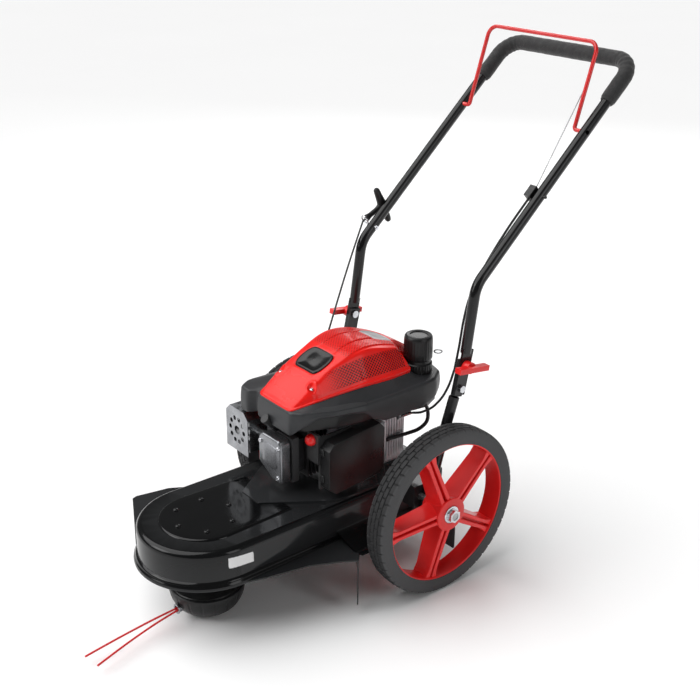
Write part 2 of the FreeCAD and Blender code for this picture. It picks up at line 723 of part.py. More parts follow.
def make_valve_cover():
    """Pressed cover on the cylinder head with cut corners."""
    body = new_body("valve_cover")
    face = sketch_on(body, "XZ_Plane", "cylinder_front")
    draw_outline(face, (("-37", "cylinder_low + 26"), ("8", "cylinder_low + 2"), ("38", "cylinder_low + 2"),
                        ("38", "cylinder_high - 12"), ("30", "cylinder_high - 2"),
                        ("-28", "cylinder_high - 4"),
                        ("-37", "cylinder_high - 16")))
    pad(body, face, "valve_depth")


def make_spark_plug():
    """Plug with its boot, high on the right of the cylinder head."""
    centre = point("-14", "-cylinder_front", "cylinder_high + 10")
    body = from_to(centre + Vector(0, 10, -14), centre + Vector(0, -8, 4), 7)
    boot = from_to(centre + Vector(0, -7, 3), centre + Vector(0, -26, 22), 9)
    shaped("spark_plug", body.fuse(boot))


def make_muffler():
    body = new_body("muffler")
    face = sketch_on(body, "XZ_Plane", "muffler_front - 66")
    low, high = "muffler_low + 6", "muffler_high - 18"
    draw_outline(face, (("-muffler_out + 6", low), ("-muffler_in - 4", low),
                        ("-muffler_in - 4", high), ("-muffler_out + 6", high)))
    pad(body, face, "58")
    pipe_sketch = sketch_on(body, "YZ_Plane", "-muffler_in - 5")
    draw_circle(pipe_sketch, "-muffler_front + 36", "(muffler_low + muffler_high) / 2", "12")
    pad(body, pipe_sketch, "muffler_in + 5 - cylinder_half")


def make_muffler_guard():
    """Perforated sheet guard: a front plate and the two sides that hold it."""
    body = new_body("muffler_guard")
    face = sketch_on(body, "XZ_Plane", "muffler_front - 68")
    draw_outline(face, (("-muffler_out", "muffler_low"), ("-muffler_in", "muffler_low"),
                        ("-muffler_in", "muffler_high - 14"), ("-muffler_in - 14", "muffler_high"),
                        ("-muffler_out + 14", "muffler_high"), ("-muffler_out", "muffler_high - 14")))
    pad(body, face, "68")
    inner = sketch_on(body, "XZ_Plane", "muffler_front - 68")
    draw_outline(inner, (("-muffler_out + 1.5", "muffler_low - 1"), ("-muffler_in + 1", "muffler_low - 1"),
                         ("-muffler_in + 1", "muffler_high - 16"), ("-muffler_in - 14", "muffler_high - 2"),
                         ("-muffler_out + 14", "muffler_high - 2"),
                         ("-muffler_out + 1.5", "muffler_high - 16")))
    pocket(body, inner, "66.5", backwards=True)
    holes = sketch_on(body, "XZ_Plane", "muffler_front - 1.6")
    middle = "(-(muffler_in + muffler_out) / 2)"
    centre_high = "((muffler_low + muffler_high) / 2)"
    draw_circle(holes, middle, centre_high, "9")
    for k in range(10):
        angle = 36 * k
        draw_circle(holes, f"{middle} + 24 * cos({angle})", f"{centre_high} + 26 * sin({angle})", "5")
    pocket(body, holes, "3", backwards=True)


def make_carburettor():
    carb = block("carburettor_core", ("cylinder_half", "filter_in"), ("-176", "-136"), ("262", "306"))
    bowl = rod("carburettor_bowl", "16", "26", ("54", "-156", "238"))
    keep(fused("carburettor", carb, bowl), "carburettor")


def make_air_filter():
    """Filter base with the primer panel in front, the element and the clipped cover."""
    base = block("filter_base_plate", ("filter_in", "filter_in + 6"),
                 ("-filter_front + 4", "-filter_rear - 4"),
                 ("filter_low + 4", "filter_high - 4"))
    panel = block("filter_base_panel", ("filter_in - 30", "filter_in + 6"),
                  ("-filter_front - 2", "-filter_front + 4"), ("286", "filter_high + 1"))
    bore = rod("filter_base_bore", "bulb_radius + body_gap", "20",
               ("filter_in - 14", "-filter_front - 8", "bulb_high"), "Y")
    panel = cut_from("filter_base_panel", panel, bore)
    keep(fused("filter_base", base, panel), "filter_base")
    keep(block("filter_element", ("filter_in + 6", "filter_out - 6"),
               ("-filter_front + 16", "-filter_rear - 16"),
               ("filter_low + 16", "filter_high - 24")), "filter_element")
    body = new_body("filter_cover")
    side = sketch_on(body, "YZ_Plane", "filter_in + 6")
    draw_outline(side, (("-filter_front + 4.4", "filter_low + 14"), ("-filter_front + 22", "filter_low"),
                        ("-filter_rear - 10", "filter_low + 10"), ("-filter_rear", "filter_low + 22"),
                        ("-filter_rear", "filter_high - 14"), ("-filter_rear - 12", "filter_high"),
                        ("-filter_front + 16", "filter_high - 12"),
                        ("-filter_front + 4.4", "filter_high - 26")))
    pad(body, side, "filter_out - filter_in - 6")
    inner = sketch_on(body, "YZ_Plane", "filter_in + 6")
    draw_outline(inner, (("-filter_front + 14", "filter_low + 15"), ("-filter_rear - 14", "filter_low + 15"),
                         ("-filter_rear - 14", "filter_high - 22"),
                         ("-filter_front + 14", "filter_high - 22")))
    pocket(body, inner, "filter_out - filter_in - 9", backwards=True)


def make_primer_bulb():
    """Soft dome on the panel in front of the filter."""
    turned("primer_bulb", (
        ("0", "-5"), ("bulb_radius", "-5"), ("bulb_radius", "3"), ("bulb_radius - 1", "7"),
        ("bulb_radius - 4", "11"), ("0", "13")), "Y", ("filter_in - 14", "-filter_front - 2", "bulb_high"))


def shroud_outline(shrink):
    """Plan of the blower shroud; shrink moves it inwards for the inside."""
    corners = ((-58, -236), (58, -236), (108, -160), (117, -75), (117, 70), (92, 112), (50, 128), (-50, 128),
               (-96, 104), (-117, 50), (-117, -75), (-108, -160))
    return inset(corners, shrink, (0, -50))


def inset(corners, shrink, centre):
    """Corners moved towards a centre by a fixed distance in X and Y."""
    places = []
    for x, y in corners:
        towards_x = 1 if x > centre[0] else -1
        towards_y = 1 if y > centre[1] else -1
        places.append((f"{x} - {towards_x} * ({shrink})", f"{y} - {towards_y} * ({shrink})"))
    return places


def make_fan_shroud():
    """Blower shroud round the flywheel, open below, with holes for the fan and the filler neck."""
    body = new_body("fan_shroud")
    slab(body, shroud_outline("0"), "shroud_low", "shroud_high")
    cut_slab(body, shroud_outline("shell_wall"), "shroud_low", "shroud_high - shell_wall")
    roof = "shroud_high - shell_wall"
    cut_discs(body, (("0", "-crank_reach"),), "flywheel_radius", roof, "shroud_high")
    cut_discs(body, (("cap_left", "cap_back"),), "neck_radius + 2", roof, "shroud_high")
    for corners in ((("-44", "-252"), ("44", "-252"), ("44", "-150"), ("-44", "-150")),):
        cut_slab(body, corners, "shroud_low", "shroud_low + 12")


def make_cowl():
    """Red top cover over the starter: a lofted shell with the reel's post inside."""
    base = ((-52, -230), (52, -230), (100, -150), (110, -70), (104, 4), (40, 36), (22, 104), (-70, 100),
            (-104, 40), (-110, -70), (-100, -150))
    crown = ((-30, -140), (30, -140), (50, -110), (58, -75), (56, -30), (34, -10), (16, 10), (-34, 8),
             (-54, -20), (-58, -75), (-50, -110))
    body = new_body("cowl")
    loft_between(body, "PartDesign::AdditiveLoft", inset(base, "0", (0, -75)), "shroud_high",
                 inset(crown, "0", (0, -75)), "cowl_high")
    loft_between(body, "PartDesign::SubtractiveLoft", inset(base, "shell_wall", (0, -75)), "shroud_high",
                 inset(crown, "shell_wall", (0, -75)), "cowl_high - shell_wall")
    disc(body, "0", "-crank_reach", "axle_radius", "reel_low - 3", "cowl_high - shell_wall")


def loft_between(body, kind, low_corners, low, high_corners, high):
    lower = sketch_on(body, "XY_Plane", low)
    draw_outline(lower, low_corners)
    upper = sketch_on(body, "XY_Plane", high)
    draw_outline(upper, high_corners)
    doc.recompute()
    loft = body.newObject(kind, body.Name + "_loft")
    loft.Profile = lower
    loft.Sections = [upper]
    loft.Ruled = True
    doc.recompute()


def make_cowl_badges():
    """Two thin plates that follow the cowl's slope, one in front and one on top."""
    front = Part.makeBox(56, 34, 2.4, Vector(-28, -17, 0))
    front.Placement = Placement(Vector(0, -192, 436), Rotation(Vector(1, 0, 0), 43))
    top = Part.makeBox(44, 34, 2.4, Vector(-22, -60, number("cowl_high")))
    shaped("cowl_badges", Part.makeCompound([front, top]))


def make_flywheel():
    turned("flywheel", (
        ("shaft_radius", "flywheel_low"), ("flywheel_radius - 3", "flywheel_low"),
        ("flywheel_radius - 3", "flywheel_low + 24"), ("40", "flywheel_low + 24"),
        ("30", "flywheel_low + 34"), ("shaft_radius", "flywheel_low + 34")), place=("0", "-crank_reach", "0"))


def make_crankshaft():
    """Vertical crankshaft; its webs run inside the crankcase."""
    low = "deck_top + plate_thick + 24"
    turned("crankshaft", (
        ("0", "pulley_low"), ("shaft_radius", "pulley_low"), ("shaft_radius", low), ("34", low),
        ("34", f"{low} + 34"), ("shaft_radius", f"{low} + 34"), ("shaft_radius", "flywheel_low + 40"),
        ("0", "flywheel_low + 40")), place=("0", "-crank_reach", "0"))


def make_recoil_reel():
    turned("recoil_reel", (
        ("axle_radius + run_gap", "reel_low"), ("reel_radius", "reel_low"), ("reel_radius", "reel_low + 3"),
        ("reel_radius - 10", "reel_low + 4"), ("reel_radius - 10", "reel_low + 11"),
        ("reel_radius", "reel_low + 12"), ("reel_radius", "reel_low + 15"),
        ("axle_radius + run_gap", "reel_low + 15")), place=("0", "-crank_reach", "0"))


def make_fuel_tank():
    """Tank under the rear of the shroud, with the filler neck through the shroud's roof."""
    body = new_body("fuel_tank")
    low, high = "shroud_low - 12", "shroud_high - shell_wall - 1"
    outline = (("-80", "32"), ("100", "32"), ("104", "66"), ("86", "104"), ("46", "120"), ("-46", "120"),
               ("-80", "100"))
    slab(body, outline, low, high)
    disc(body, "cap_left", "cap_back", "neck_radius", high, "cap_low + 30")
    cut_slab(body, inset(((-80, 32), (100, 32), (100, 66), (80, 100), (46, 114), (-46, 114), (-80, 100)),
                         "shell_wall", (10, 70)), f"{low} + shell_wall", f"{high} - shell_wall")
    cut_discs(body, (("cap_left", "cap_back"),), "neck_radius - shell_wall", f"{high} - shell_wall - 1",
              "cap_low + 30")


def make_fuel_cap():
    """Tall ribbed cap that screws over the filler neck."""
    inner = "neck_radius + body_gap"
    turned("fuel_cap", (
        (inner, "cap_low + 1"), ("cap_radius", "cap_low + 1"), ("cap_radius", "cap_low + 16"),
        ("cap_radius - 3", "cap_low + 18"), ("cap_radius - 3", "cap_low + 24"),
        ("cap_radius", "cap_low + 27"),
        ("cap_radius", "cap_high - 4"), ("cap_radius - 4", "cap_high"), ("0", "cap_high"),
        ("0", "cap_low + 34"), (inner, "cap_low + 34")), place=("cap_left", "cap_back", "0"))


def make_breather_hose():
    """Hose from under the shroud's rear, round and forward to the crankcase breather."""
    points = [Vector(84, 78, 337.4), Vector(87, 86, 314), Vector(86, 86, 290), Vector(76, 72, 272),
              Vector(66, 50, 266), Vector(60, 24, 264), Vector(60, -4, 265)]
    held_cable("breather_hose", points, 4.0)


def make_brake_lever():
    """Lever of the engine's flywheel brake, pulled by the cable."""
    pin = from_to(Vector(104, -10, 333), Vector(104, -10, 346), 4)
    arm = Part.makeBox(10, 36, 4, Vector(99, -15, 337))
    shaped("brake_lever", pin.fuse(arm))


# ---------------------------------------------------------------- handle
def flat_end(side, near, far, ends, reach):
    """The flattened end of a tube: a strip between two points in a leg's plane."""
    start, finish = [Vector(0, y, z) for y, z in ends]
    along = (finish - start).normalize()
    across = Vector(0, along.z, -along.y) * number("flat_half")
    start = start - along * reach[0]
    finish = finish + along * reach[1]
    corners = [start - across, start + across, finish + across, finish - across, start - across]
    face = Part.Face(Part.makePolygon(corners))
    strip = face.extrude(Vector(far - near, 0, 0))
    strip.translate(Vector(near, 0, 0))
    if side == RIGHT:
        strip = strip.mirror(Vector(), Vector(1, 0, 0))
    return strip


def pivot_place():
    return number("pivot_back"), number("pivot_high")


def knob_place():
    return number("knob_back"), number("knob_high")


def cross_hole(side, place, radius, shape):
    """A hole along X through a leg at (back, high)."""
    middle = Vector(side * number("leg_half"), place[0], place[1])
    reach = Vector(number("tube_radius") + 25, 0, 0)
    return shape.cut(from_to(middle - reach, middle + reach, radius))


def make_lower_handles():
    """Stub tubes that rise behind the wheels from the axle to the fold."""
    half = number("leg_half")
    radius = number("tube_radius")
    route = ((4.0, 150.0), (34.9, 263.7), (55.0, 334.3), (72.0, 386.0))
    for side, word in ((LEFT, "left"), (RIGHT, "right")):
        points = [Vector(side * half, y, z) for y, z in route]
        bends = [number("knee_bend")] * 2
        tube, length, radii = pipe(points, radius, bends, radius - number("tube_wall"))
        flat = flat_end(side, half - number("leg_gap") - number("flat_thick"), half - number("leg_gap"),
                        (pivot_place(), knob_place()), (20.0, 12.0))
        shape = tube.fuse(flat)
        axle = (number("axle_back"), number("axle_high"))
        shape = cross_hole(side, axle, number("axle_radius"), shape)
        for place in (pivot_place(), knob_place()):
            shape = cross_hole(side, place, number("bolt_radius"), shape)
        shaped("lower_handle_" + word, shape.removeSplitter())


def make_upper_handle():
    """U-shaped tube with flattened ends, a knee in each leg and the bar across the top."""
    half = number("leg_half")
    radius = number("tube_radius")
    start = (number("knob_back") + 3.6, number("knob_high") + 26.0)
    middle = (number("knee_back"), number("knee_high"))
    bar = (number("bar_back"), number("bar_high"))
    route = [(-half, start), (-half, middle), (-half, bar), (half, bar), (half, middle), (half, start)]
    points = [Vector(x, y, z) for x, (y, z) in route]
    knee, corner = number("knee_bend"), number("bar_bend")
    tube, length, radii = pipe(points, radius, [knee, corner, corner, knee], radius - number("tube_wall"))
    for side in (LEFT, RIGHT):
        flat = flat_end(side, half, half + number("flat_thick"), (pivot_place(), knob_place()), (14.0, 34.0))
        slot = from_to(Vector(side * (half - 1), *knob_place()), Vector(side * (half + 20), *knob_place()),
                       number("bolt_radius + body_gap"))
        flat = flat.cut(slot).cut(stud_path(side, half))
        tube = tube.fuse(flat)
        tube = cross_hole(side, pivot_place(), number("bolt_radius + run_gap"), tube)
        tube = cross_hole(side, bail_place(), number("bail_radius + run_gap"), tube)
    tube = cross_hole(LEFT, clip_place(), number("clip_bolt"), tube)
    tube = cross_hole(RIGHT, guide_bolt_place(), number("clip_bolt"), tube)
    shaped("upper_handle", tube.removeSplitter())


def stud_path(side, half):
    """Ring sector that a stud sweeps in the upper flat when the handle folds forwards."""
    pivot, stud = Vector(0, *pivot_place()), Vector(0, *knob_place())
    arm = stud - pivot
    gap = number("bolt_radius + body_gap")
    start = math.degrees(math.atan2(arm.z, arm.y))
    origin = Vector(side * half - 10, pivot.y, pivot.z)
    sweep = number("slot_sweep")
    outer = Part.makeCylinder(arm.Length + gap, 20, Vector(), Vector(0, 0, 1), sweep)
    inner = Part.makeCylinder(arm.Length - gap, 20, Vector(), Vector(0, 0, 1), sweep)
    path = outer.cut(inner)
    upright = Rotation(Vector(0, 1, 0), Vector(0, 0, 1), Vector(1, 0, 0), "ZXY")
    path.Placement = Placement(origin, Rotation(Vector(1, 0, 0), start - sweep) * upright)
    return path


def make_handle_bolts():
    """Pivot bolts and the studs of the wing knobs, on both sides."""
    half = number("leg_half")
    inner = half - number("leg_gap") - number("flat_thick")
    outer = half + number("flat_thick") + number("body_gap")
    radius = number("bolt_radius")
    bolts = []
    for side in (LEFT, RIGHT):
        for place, reach in ((pivot_place(), 0.0), (knob_place(), 18.0)):
            centre = Vector(0, *place)
            seat = centre + Vector(side * inner, 0, 0)
            shank = from_to(seat, centre + Vector(side * (outer + reach), 0, 0), radius)
            carriage = from_to(seat - Vector(side * 4, 0, 0), seat, 8)
            bolt = shank.fuse(carriage)
            if not reach:
                bolt = bolt.fuse(hexagon_bar(centre + Vector(side * outer, 0, 0), Vector(side, 0, 0), 14, 6))
            bolts.append(bolt)
    shaped("handle_bolts", Part.makeCompound(bolts))


def make_wing_knobs():
    """Clamping knobs with two wings, screwed on the studs."""
    half = number("leg_half") + number("flat_thick") + number("body_gap")
    centre = Vector(0, *knob_place())
    for side, word in ((LEFT, "left"), (RIGHT, "right")):
        start = centre + Vector(side * half, 0, 0)
        hub = from_to(start, start + Vector(side * 16, 0, 0), 12)
        wings = Part.makeBox(16, 2 * number("knob_span"), 11, Vector(-8, -number("knob_span"), -5.5))
        lean = Rotation(Vector(1, 0, 0), -8)
        wings.Placement = Placement(start + Vector(side * 19, 0, 0), lean)
        knob = hub.fuse(wings)
        bore = from_to(start - Vector(side, 0, 0), start + Vector(side * 18.4, 0, 0),
                       number("bolt_radius + run_gap"))
        shaped("knob_" + word, knob.cut(bore))


def bar_direction():
    """Unit vector up the long part of the handle's legs."""
    rise = Vector(0, number("bar_back") - number("knee_back"), number("bar_high") - number("knee_high"))
    return rise.normalize()


def down_from_bar(reach, off):
    """A place in a leg's plane, (back, high): reach down the leg from the bar and off it, upwards."""
    along = bar_direction()
    return (number("bar_back") - along.y * number(reach) - along.z * number(off),
            number("bar_high") - along.z * number(reach) + along.y * number(off))


def up_from_knee(reach, off):
    """A place in a leg's plane, (back, high): reach up the leg from the knee and off it, upwards."""
    along = bar_direction()
    return (number("knee_back") + along.y * number(reach) - along.z * number(off),
            number("knee_high") + along.z * number(reach) + along.y * number(off))


def bail_place():
    return down_from_bar("bail_reach", "bail_off")


def clip_place():
    return down_from_bar("clip_reach", "clip_off")


def guide_bolt_place():
    return up_from_knee("guide_bolt_reach", "guide_bolt_off")


def make_foam_grip():
    """Foam sleeve over the bar, its bends and the top of each leg."""
    half = number("leg_half")
    radius = number("tube_radius")
    bar = point("0", "bar_back", "bar_high")
    low = bar - bar_direction() * (number("bar_bend") + number("foam_leg"))
    points = [Vector(-half, low.y, low.z), Vector(-half, bar.y, bar.z), Vector(half, bar.y, bar.z),
              Vector(half, low.y, low.z)]
    bends = [number("bar_bend")] * 2
    sleeve, length, radii = pipe(points, number("foam_radius"), bends, radius)
    shaped("foam_grip", sleeve)


def make_bail():
    """Bail rod; its ends turn outwards into holes in the legs."""
    half = number("bail_half")
    low = bail_place()
    top = down_from_bar("bail_top_reach", "bail_top_off")
    end = number("leg_half - tube_radius") + 4
    route = [(-end, low), (-half, low), (-half, top), (half, top), (half, low), (end, low)]
    points = [Vector(x, y, z) for x, (y, z) in route]
    eye, corner = number("bail_radius") + 2, number("bail_bend")
    shape, length, radii = pipe(points, number("bail_radius"), [eye, corner, corner, eye])
    shaped("bail", shape)


def make_cable_clip():
    """Moulded block bolted to the inner side of the left leg, where the outer cable stops."""
    along = bar_direction()
    place = Vector(number("leg_half"), *clip_place())
    tube = Vector(number("tube_radius"), 0, 0)
    clip = Part.makeBox(16, 22, 26, Vector(-8, -11, -13))
    turn = Rotation(Vector(0, 0, 1), along)
    clip.Placement = Placement(place - tube - Vector(8, 0, 0), turn)
    bolt = from_to(place - tube - Vector(20, 0, 0), place + tube + Vector(7, 0, 0), number("clip_bolt"))
    shaped("cable_clip", clip.fuse(bolt))


def make_cables():
    """Brake cable: bare wire from the bail to the clip, outer cable down to the fold and on to the engine."""
    x = number("leg_half - tube_radius") - 8
    along = bar_direction()
    clip = Vector(x, *clip_place())
    anchor = Vector(number("bail_half") - 8, *down_from_bar("wire_reach", "wire_off"))
    wire = from_to(clip + along * 13.5, anchor, 1.0)
    shaped("brake_wire", wire)
    upper = [clip - along * 13.5, Vector(x - 2, 225, 712), Vector(x - 4, 184, 665), Vector(x - 3, 148, 622),
             Vector(x - 4, 122, 580), Vector(x - 7, 112, 530), Vector(x - 8, 106, 478),
             Vector(x - 10, 98, 430)]
    held_cable("cable_upper", upper, number("cable_radius"))
    lower = [Vector(x - 10.1, 97.7, 428.6), Vector(x - 14, 90, 396), Vector(x - 20, 77, 367),
             Vector(x - 29, 58, 346), Vector(x - 40, 36, 338), Vector(x - 48, 22, 339)]
    held_cable("cable_lower", lower, number("cable_radius"))


def guide_place():
    return Vector(-number("leg_half + tube_radius + guide_gap"), *up_from_knee("guide_reach", "guide_off"))


def pull_direction():
    """Unit vector along which the starter grip is first pulled."""
    return Vector(0.0, 0.896, 0.444).normalize()


def make_rope_guide():
    """Wire eyelet on the right leg that holds the starter grip and leads the rope."""
    place = guide_place()
    ring = Part.makeTorus(9, 2, place, pull_direction())
    leg = Vector(-number("leg_half"), *guide_bolt_place())
    outer = leg - Vector(number("tube_radius") + 3, 0, 0)
    arm = from_to(place + Vector(6.75, 2.6, -5.3), outer, 2)
    bolt = from_to(outer - Vector(2, 0, 0), leg + Vector(number("tube_radius") + 6, 0, 0),
                   number("clip_bolt"))
    nut = hexagon_bar(leg + Vector(number("tube_radius") + 0.5, 0, 0), Vector(1, 0, 0), 9, 4)
    shaped("rope_guide", ring.fuse(arm).fuse(bolt).fuse(nut))


def make_starter_rope():
    """Rope from the starter under the cowl up to the eyelet."""
    start = Vector(-84, -46, 470)
    end = guide_place() - pull_direction() * 6
    middle = (start + end) * 0.5
    points = [start, start + (end - start) * 0.25 + Vector(0, -1.5, 0), middle + Vector(0, -2.5, 0),
              start + (end - start) * 0.75 + Vector(0, -2, 0), end]
    held_cable("starter_rope", points, number("rope_radius"))


def make_starter_grip():
    """T-shaped pull grip that rests in the eyelet."""
    way = pull_direction()
    place = guide_place()
    stem = from_to(place + way * 4, place + way * 52, 7.5)
    cross = Vector(0.0, 0.444, -0.896)
    centre = place + way * 55
    half = number("grip_span") / 2
    bar = from_to(centre - cross * half, centre + cross * half, 9.5)
    shaped("starter_grip", stem.fuse(bar))


def main():
    make_wheels()
    make_axle()
    make_axle_mounts()
    make_deck_shell()
    make_deck_pan()
    make_rear_guard()
    make_rear_flap()
    make_bearing_housing()
    make_housing_screws()
    make_spindle_bearings()
    make_spindle()
    make_pulley("driven_pulley", "spindle_radius", "driven_pitch", "-head_reach")
    make_pulley("drive_pulley", "shaft_radius", "drive_pitch", "-crank_reach")
    make_drive_belt()
    make_line_head()
    make_lines()
    make_engine_plate()
    make_engine_bolts()
    make_crankcase()
    make_cylinder()
    make_valve_cover()
    make_spark_plug()
    make_muffler()
    make_muffler_guard()
    make_carburettor()
    make_air_filter()
    make_primer_bulb()
    make_fan_shroud()
    make_cowl()
    make_cowl_badges()
    make_flywheel()
    make_crankshaft()
    make_recoil_reel()
    make_fuel_tank()
    make_fuel_cap()
    make_breather_hose()
    make_brake_lever()
    make_lower_handles()
    make_upper_handle()
    make_handle_bolts()
    make_wing_knobs()
    make_foam_grip()
    make_bail()
    make_cable_clip()
    make_cables()
    make_rope_guide()
    make_starter_rope()
    make_starter_grip()
    write_parts()


def write_parts():
    """Checks every object, then writes each sub-part to its own file."""
    doc.recompute()
    for node in doc.Objects:
        if "Invalid" in node.State or "Error" in node.State:
            raise ValueError(f"{node.Label} did not compute: {node.State}")
    os.makedirs("parts", exist_ok=True)
    for node in SUBPARTS:
        if node.Shape.isNull() or not node.Shape.isValid():
            raise ValueError(f"{node.Label} has no valid shape")
    for node in SUBPARTS:
        node.Shape.exportStep(f"parts/{node.Label}.step")
    print(len(SUBPARTS), "sub-parts written")


main()
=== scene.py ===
"""Looks of a walk-behind wheeled string trimmer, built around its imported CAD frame.

Metres, in the frame's own axes: +Z up, the machine drives towards -Y, its left side is +X.
"""
import json
import math

import bmesh
import bpy
import numpy as np
from mathutils import Matrix, Vector


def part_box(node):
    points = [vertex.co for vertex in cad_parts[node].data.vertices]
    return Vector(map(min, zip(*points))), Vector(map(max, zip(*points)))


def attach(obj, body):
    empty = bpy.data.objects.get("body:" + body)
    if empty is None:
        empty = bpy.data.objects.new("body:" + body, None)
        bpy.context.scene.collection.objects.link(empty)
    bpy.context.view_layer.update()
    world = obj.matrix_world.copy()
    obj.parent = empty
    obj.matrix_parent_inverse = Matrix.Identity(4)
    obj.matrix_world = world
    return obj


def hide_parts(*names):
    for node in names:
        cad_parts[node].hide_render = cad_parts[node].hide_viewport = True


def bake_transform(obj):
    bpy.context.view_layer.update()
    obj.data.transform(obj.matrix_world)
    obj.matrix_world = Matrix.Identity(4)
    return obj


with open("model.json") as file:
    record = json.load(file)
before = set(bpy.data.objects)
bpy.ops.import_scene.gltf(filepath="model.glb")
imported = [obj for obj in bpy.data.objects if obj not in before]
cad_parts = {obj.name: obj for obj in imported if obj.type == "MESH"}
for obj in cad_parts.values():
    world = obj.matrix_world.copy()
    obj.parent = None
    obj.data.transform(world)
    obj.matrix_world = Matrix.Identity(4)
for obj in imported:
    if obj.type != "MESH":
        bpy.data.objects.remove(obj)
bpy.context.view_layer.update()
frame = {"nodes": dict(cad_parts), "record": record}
nodes = frame["nodes"]


# ---- materials

def blank(name):
    """A new node material: its tree and its principled shader."""
    material = bpy.data.materials.new(name)
    material.use_nodes = True
    tree = material.node_tree
    return material, tree, tree.nodes["Principled BSDF"]


def fill(tree, node, sockets):
    """Sets a node's sockets: each name or number goes to a value or to another node's output."""
    for name, value in dict(sockets).items():
        if isinstance(value, bpy.types.NodeSocket):
            tree.links.new(value, node.inputs[name])
        else:
            node.inputs[name].default_value = value


def put(tree, kind, sockets=(), **settings):
    """A new node with its settings and sockets."""
    node = tree.nodes.new("ShaderNode" + kind)
    for name, value in settings.items():
        setattr(node, name, value)
    fill(tree, node, sockets)
    return node


def place(tree, source="Object", scale=(1, 1, 1), turn=(0, 0, 0)):
    """Coordinates for a pattern: object space or a UV map, stretched and turned."""
    sockets = {"Vector": put(tree, "TexCoord").outputs[source], "Scale": scale, "Rotation": turn}
    return put(tree, "Mapping", sockets).outputs[0]


def noise(tree, vector, scale, detail=3.0, rough=0.5):
    """Smooth noise over the coordinates."""
    sockets = {"Vector": vector, "Scale": scale, "Detail": detail, "Roughness": rough}
    return put(tree, "TexNoise", sockets).outputs[0]


def spark_grain(tree, vector, size):
    """Soft-edged cells of a spark-eroded mould."""
    return put(tree, "TexVoronoi", {"Vector": vector, "Scale": size}, feature="SMOOTH_F1").outputs[0]


def ramp(tree, value, low, high, first=0.0, last=1.0):
    """A value carried from low..high to first..last, held at both ends."""
    return put(tree, "MapRange", {0: value, 1: low, 2: high, 3: first, 4: last}).outputs[0]


def work_out(tree, operation, *values):
    """One step of arithmetic on values or outputs."""
    return put(tree, "Math", dict(enumerate(values)), operation=operation).outputs[0]


def blend_colour(tree, share, first, second):
    """The first colour where share is 0, the second where it is 1."""
    ends = [end if isinstance(end, bpy.types.NodeSocket) else (*end, 1) for end in (first, second)]
    return put(tree, "Mix", {0: share, 6: ends[0], 7: ends[1]}, data_type="RGBA").outputs[2]


def scaled(colour, times, more=0.0):
    """A colour's channels multiplied and lifted, held at full."""
    return [min(1, channel * times + more) for channel in colour]


def bump(tree, shader, height, strength, distance, under=None):
    """Small relief from a height, laid over an earlier one where there is one."""
    sockets = {"Height": height, "Strength": strength, "Distance": distance}
    if under is not None:
        sockets["Normal"] = under
    normal = put(tree, "Bump", sockets).outputs[0]
    tree.links.new(normal, shader.inputs["Normal"])
    return normal


def edge_wear(tree, low=0.53, high=0.62):
    """Near 1 on sharp outer edges, 0 on flats."""
    pointed = put(tree, "NewGeometry").outputs["Pointiness"]
    return ramp(tree, pointed, low, high)


def painted(name, colour, dusty, rough=0.12, peel=0.04, coat=0.35, shine=0.35):
    """Gloss paint on metal: orange peel, faint dust, edges worn a little lighter."""
    material, tree, shader = blank(name)
    where = place(tree)
    fine = noise(tree, where, 420.0, 2.0)
    wide = noise(tree, where, 9.0, 5.0, 0.6)
    shade = blend_colour(tree, ramp(tree, wide, 0.45, 0.75, 0.0, 0.35), colour, dusty)
    fill(tree, shader, {
        "Base Color": blend_colour(tree, edge_wear(tree), shade, scaled(dusty, 2.2, 0.01)),
        "Roughness": ramp(tree, wide, 0.3, 0.8, rough, rough + 0.14),
        "Coat Weight": coat, "Coat Roughness": 0.05, "Specular IOR Level": shine})
    bump(tree, shader, fine, peel, 0.0006)
    return material


def moulded(name, colour, second, rough=0.42, grain=0.12, size=1400.0, coat=0.0, shine=0.38):
    """Moulded plastic: a fine spark-eroded grain, slight flow shading, paler rubbed edges."""
    material, tree, shader = blank(name)
    where = place(tree)
    cells = spark_grain(tree, where, size)
    wide = noise(tree, where, 14.0, 4.0, 0.55)
    shade = blend_colour(tree, ramp(tree, wide, 0.3, 0.7), colour, second)
    fill(tree, shader, {
        "Base Color": blend_colour(tree, edge_wear(tree), shade, scaled(second, 1.5, 0.02)),
        "Roughness": ramp(tree, wide, 0.3, 0.75, rough - 0.06, rough + 0.08),
        "Coat Weight": coat, "Coat Roughness": 0.12, "Specular IOR Level": shine})
    bump(tree, shader, cells, grain, 0.0004)
    return material


def rubbery(name, colour, dusty, rough=0.7, size=900.0, grain=0.25):
    """Matt rubber: pitted skin, grey bloom in broad patches."""
    material, tree, shader = blank(name)
    where = place(tree)
    pits = noise(tree, where, size, 4.0, 0.65)
    wide = noise(tree, where, 22.0, 5.0, 0.6)
    shade = blend_colour(tree, ramp(tree, wide, 0.35, 0.75), colour, dusty)
    fill(tree, shader, {
        "Base Color": blend_colour(tree, edge_wear(tree, 0.52, 0.6), shade, scaled(dusty, 1.7)),
        "Roughness": ramp(tree, wide, 0.3, 0.8, rough - 0.08, rough + 0.12), "Specular IOR Level": 0.35})
    bump(tree, shader, pits, grain, 0.0008)
    return material


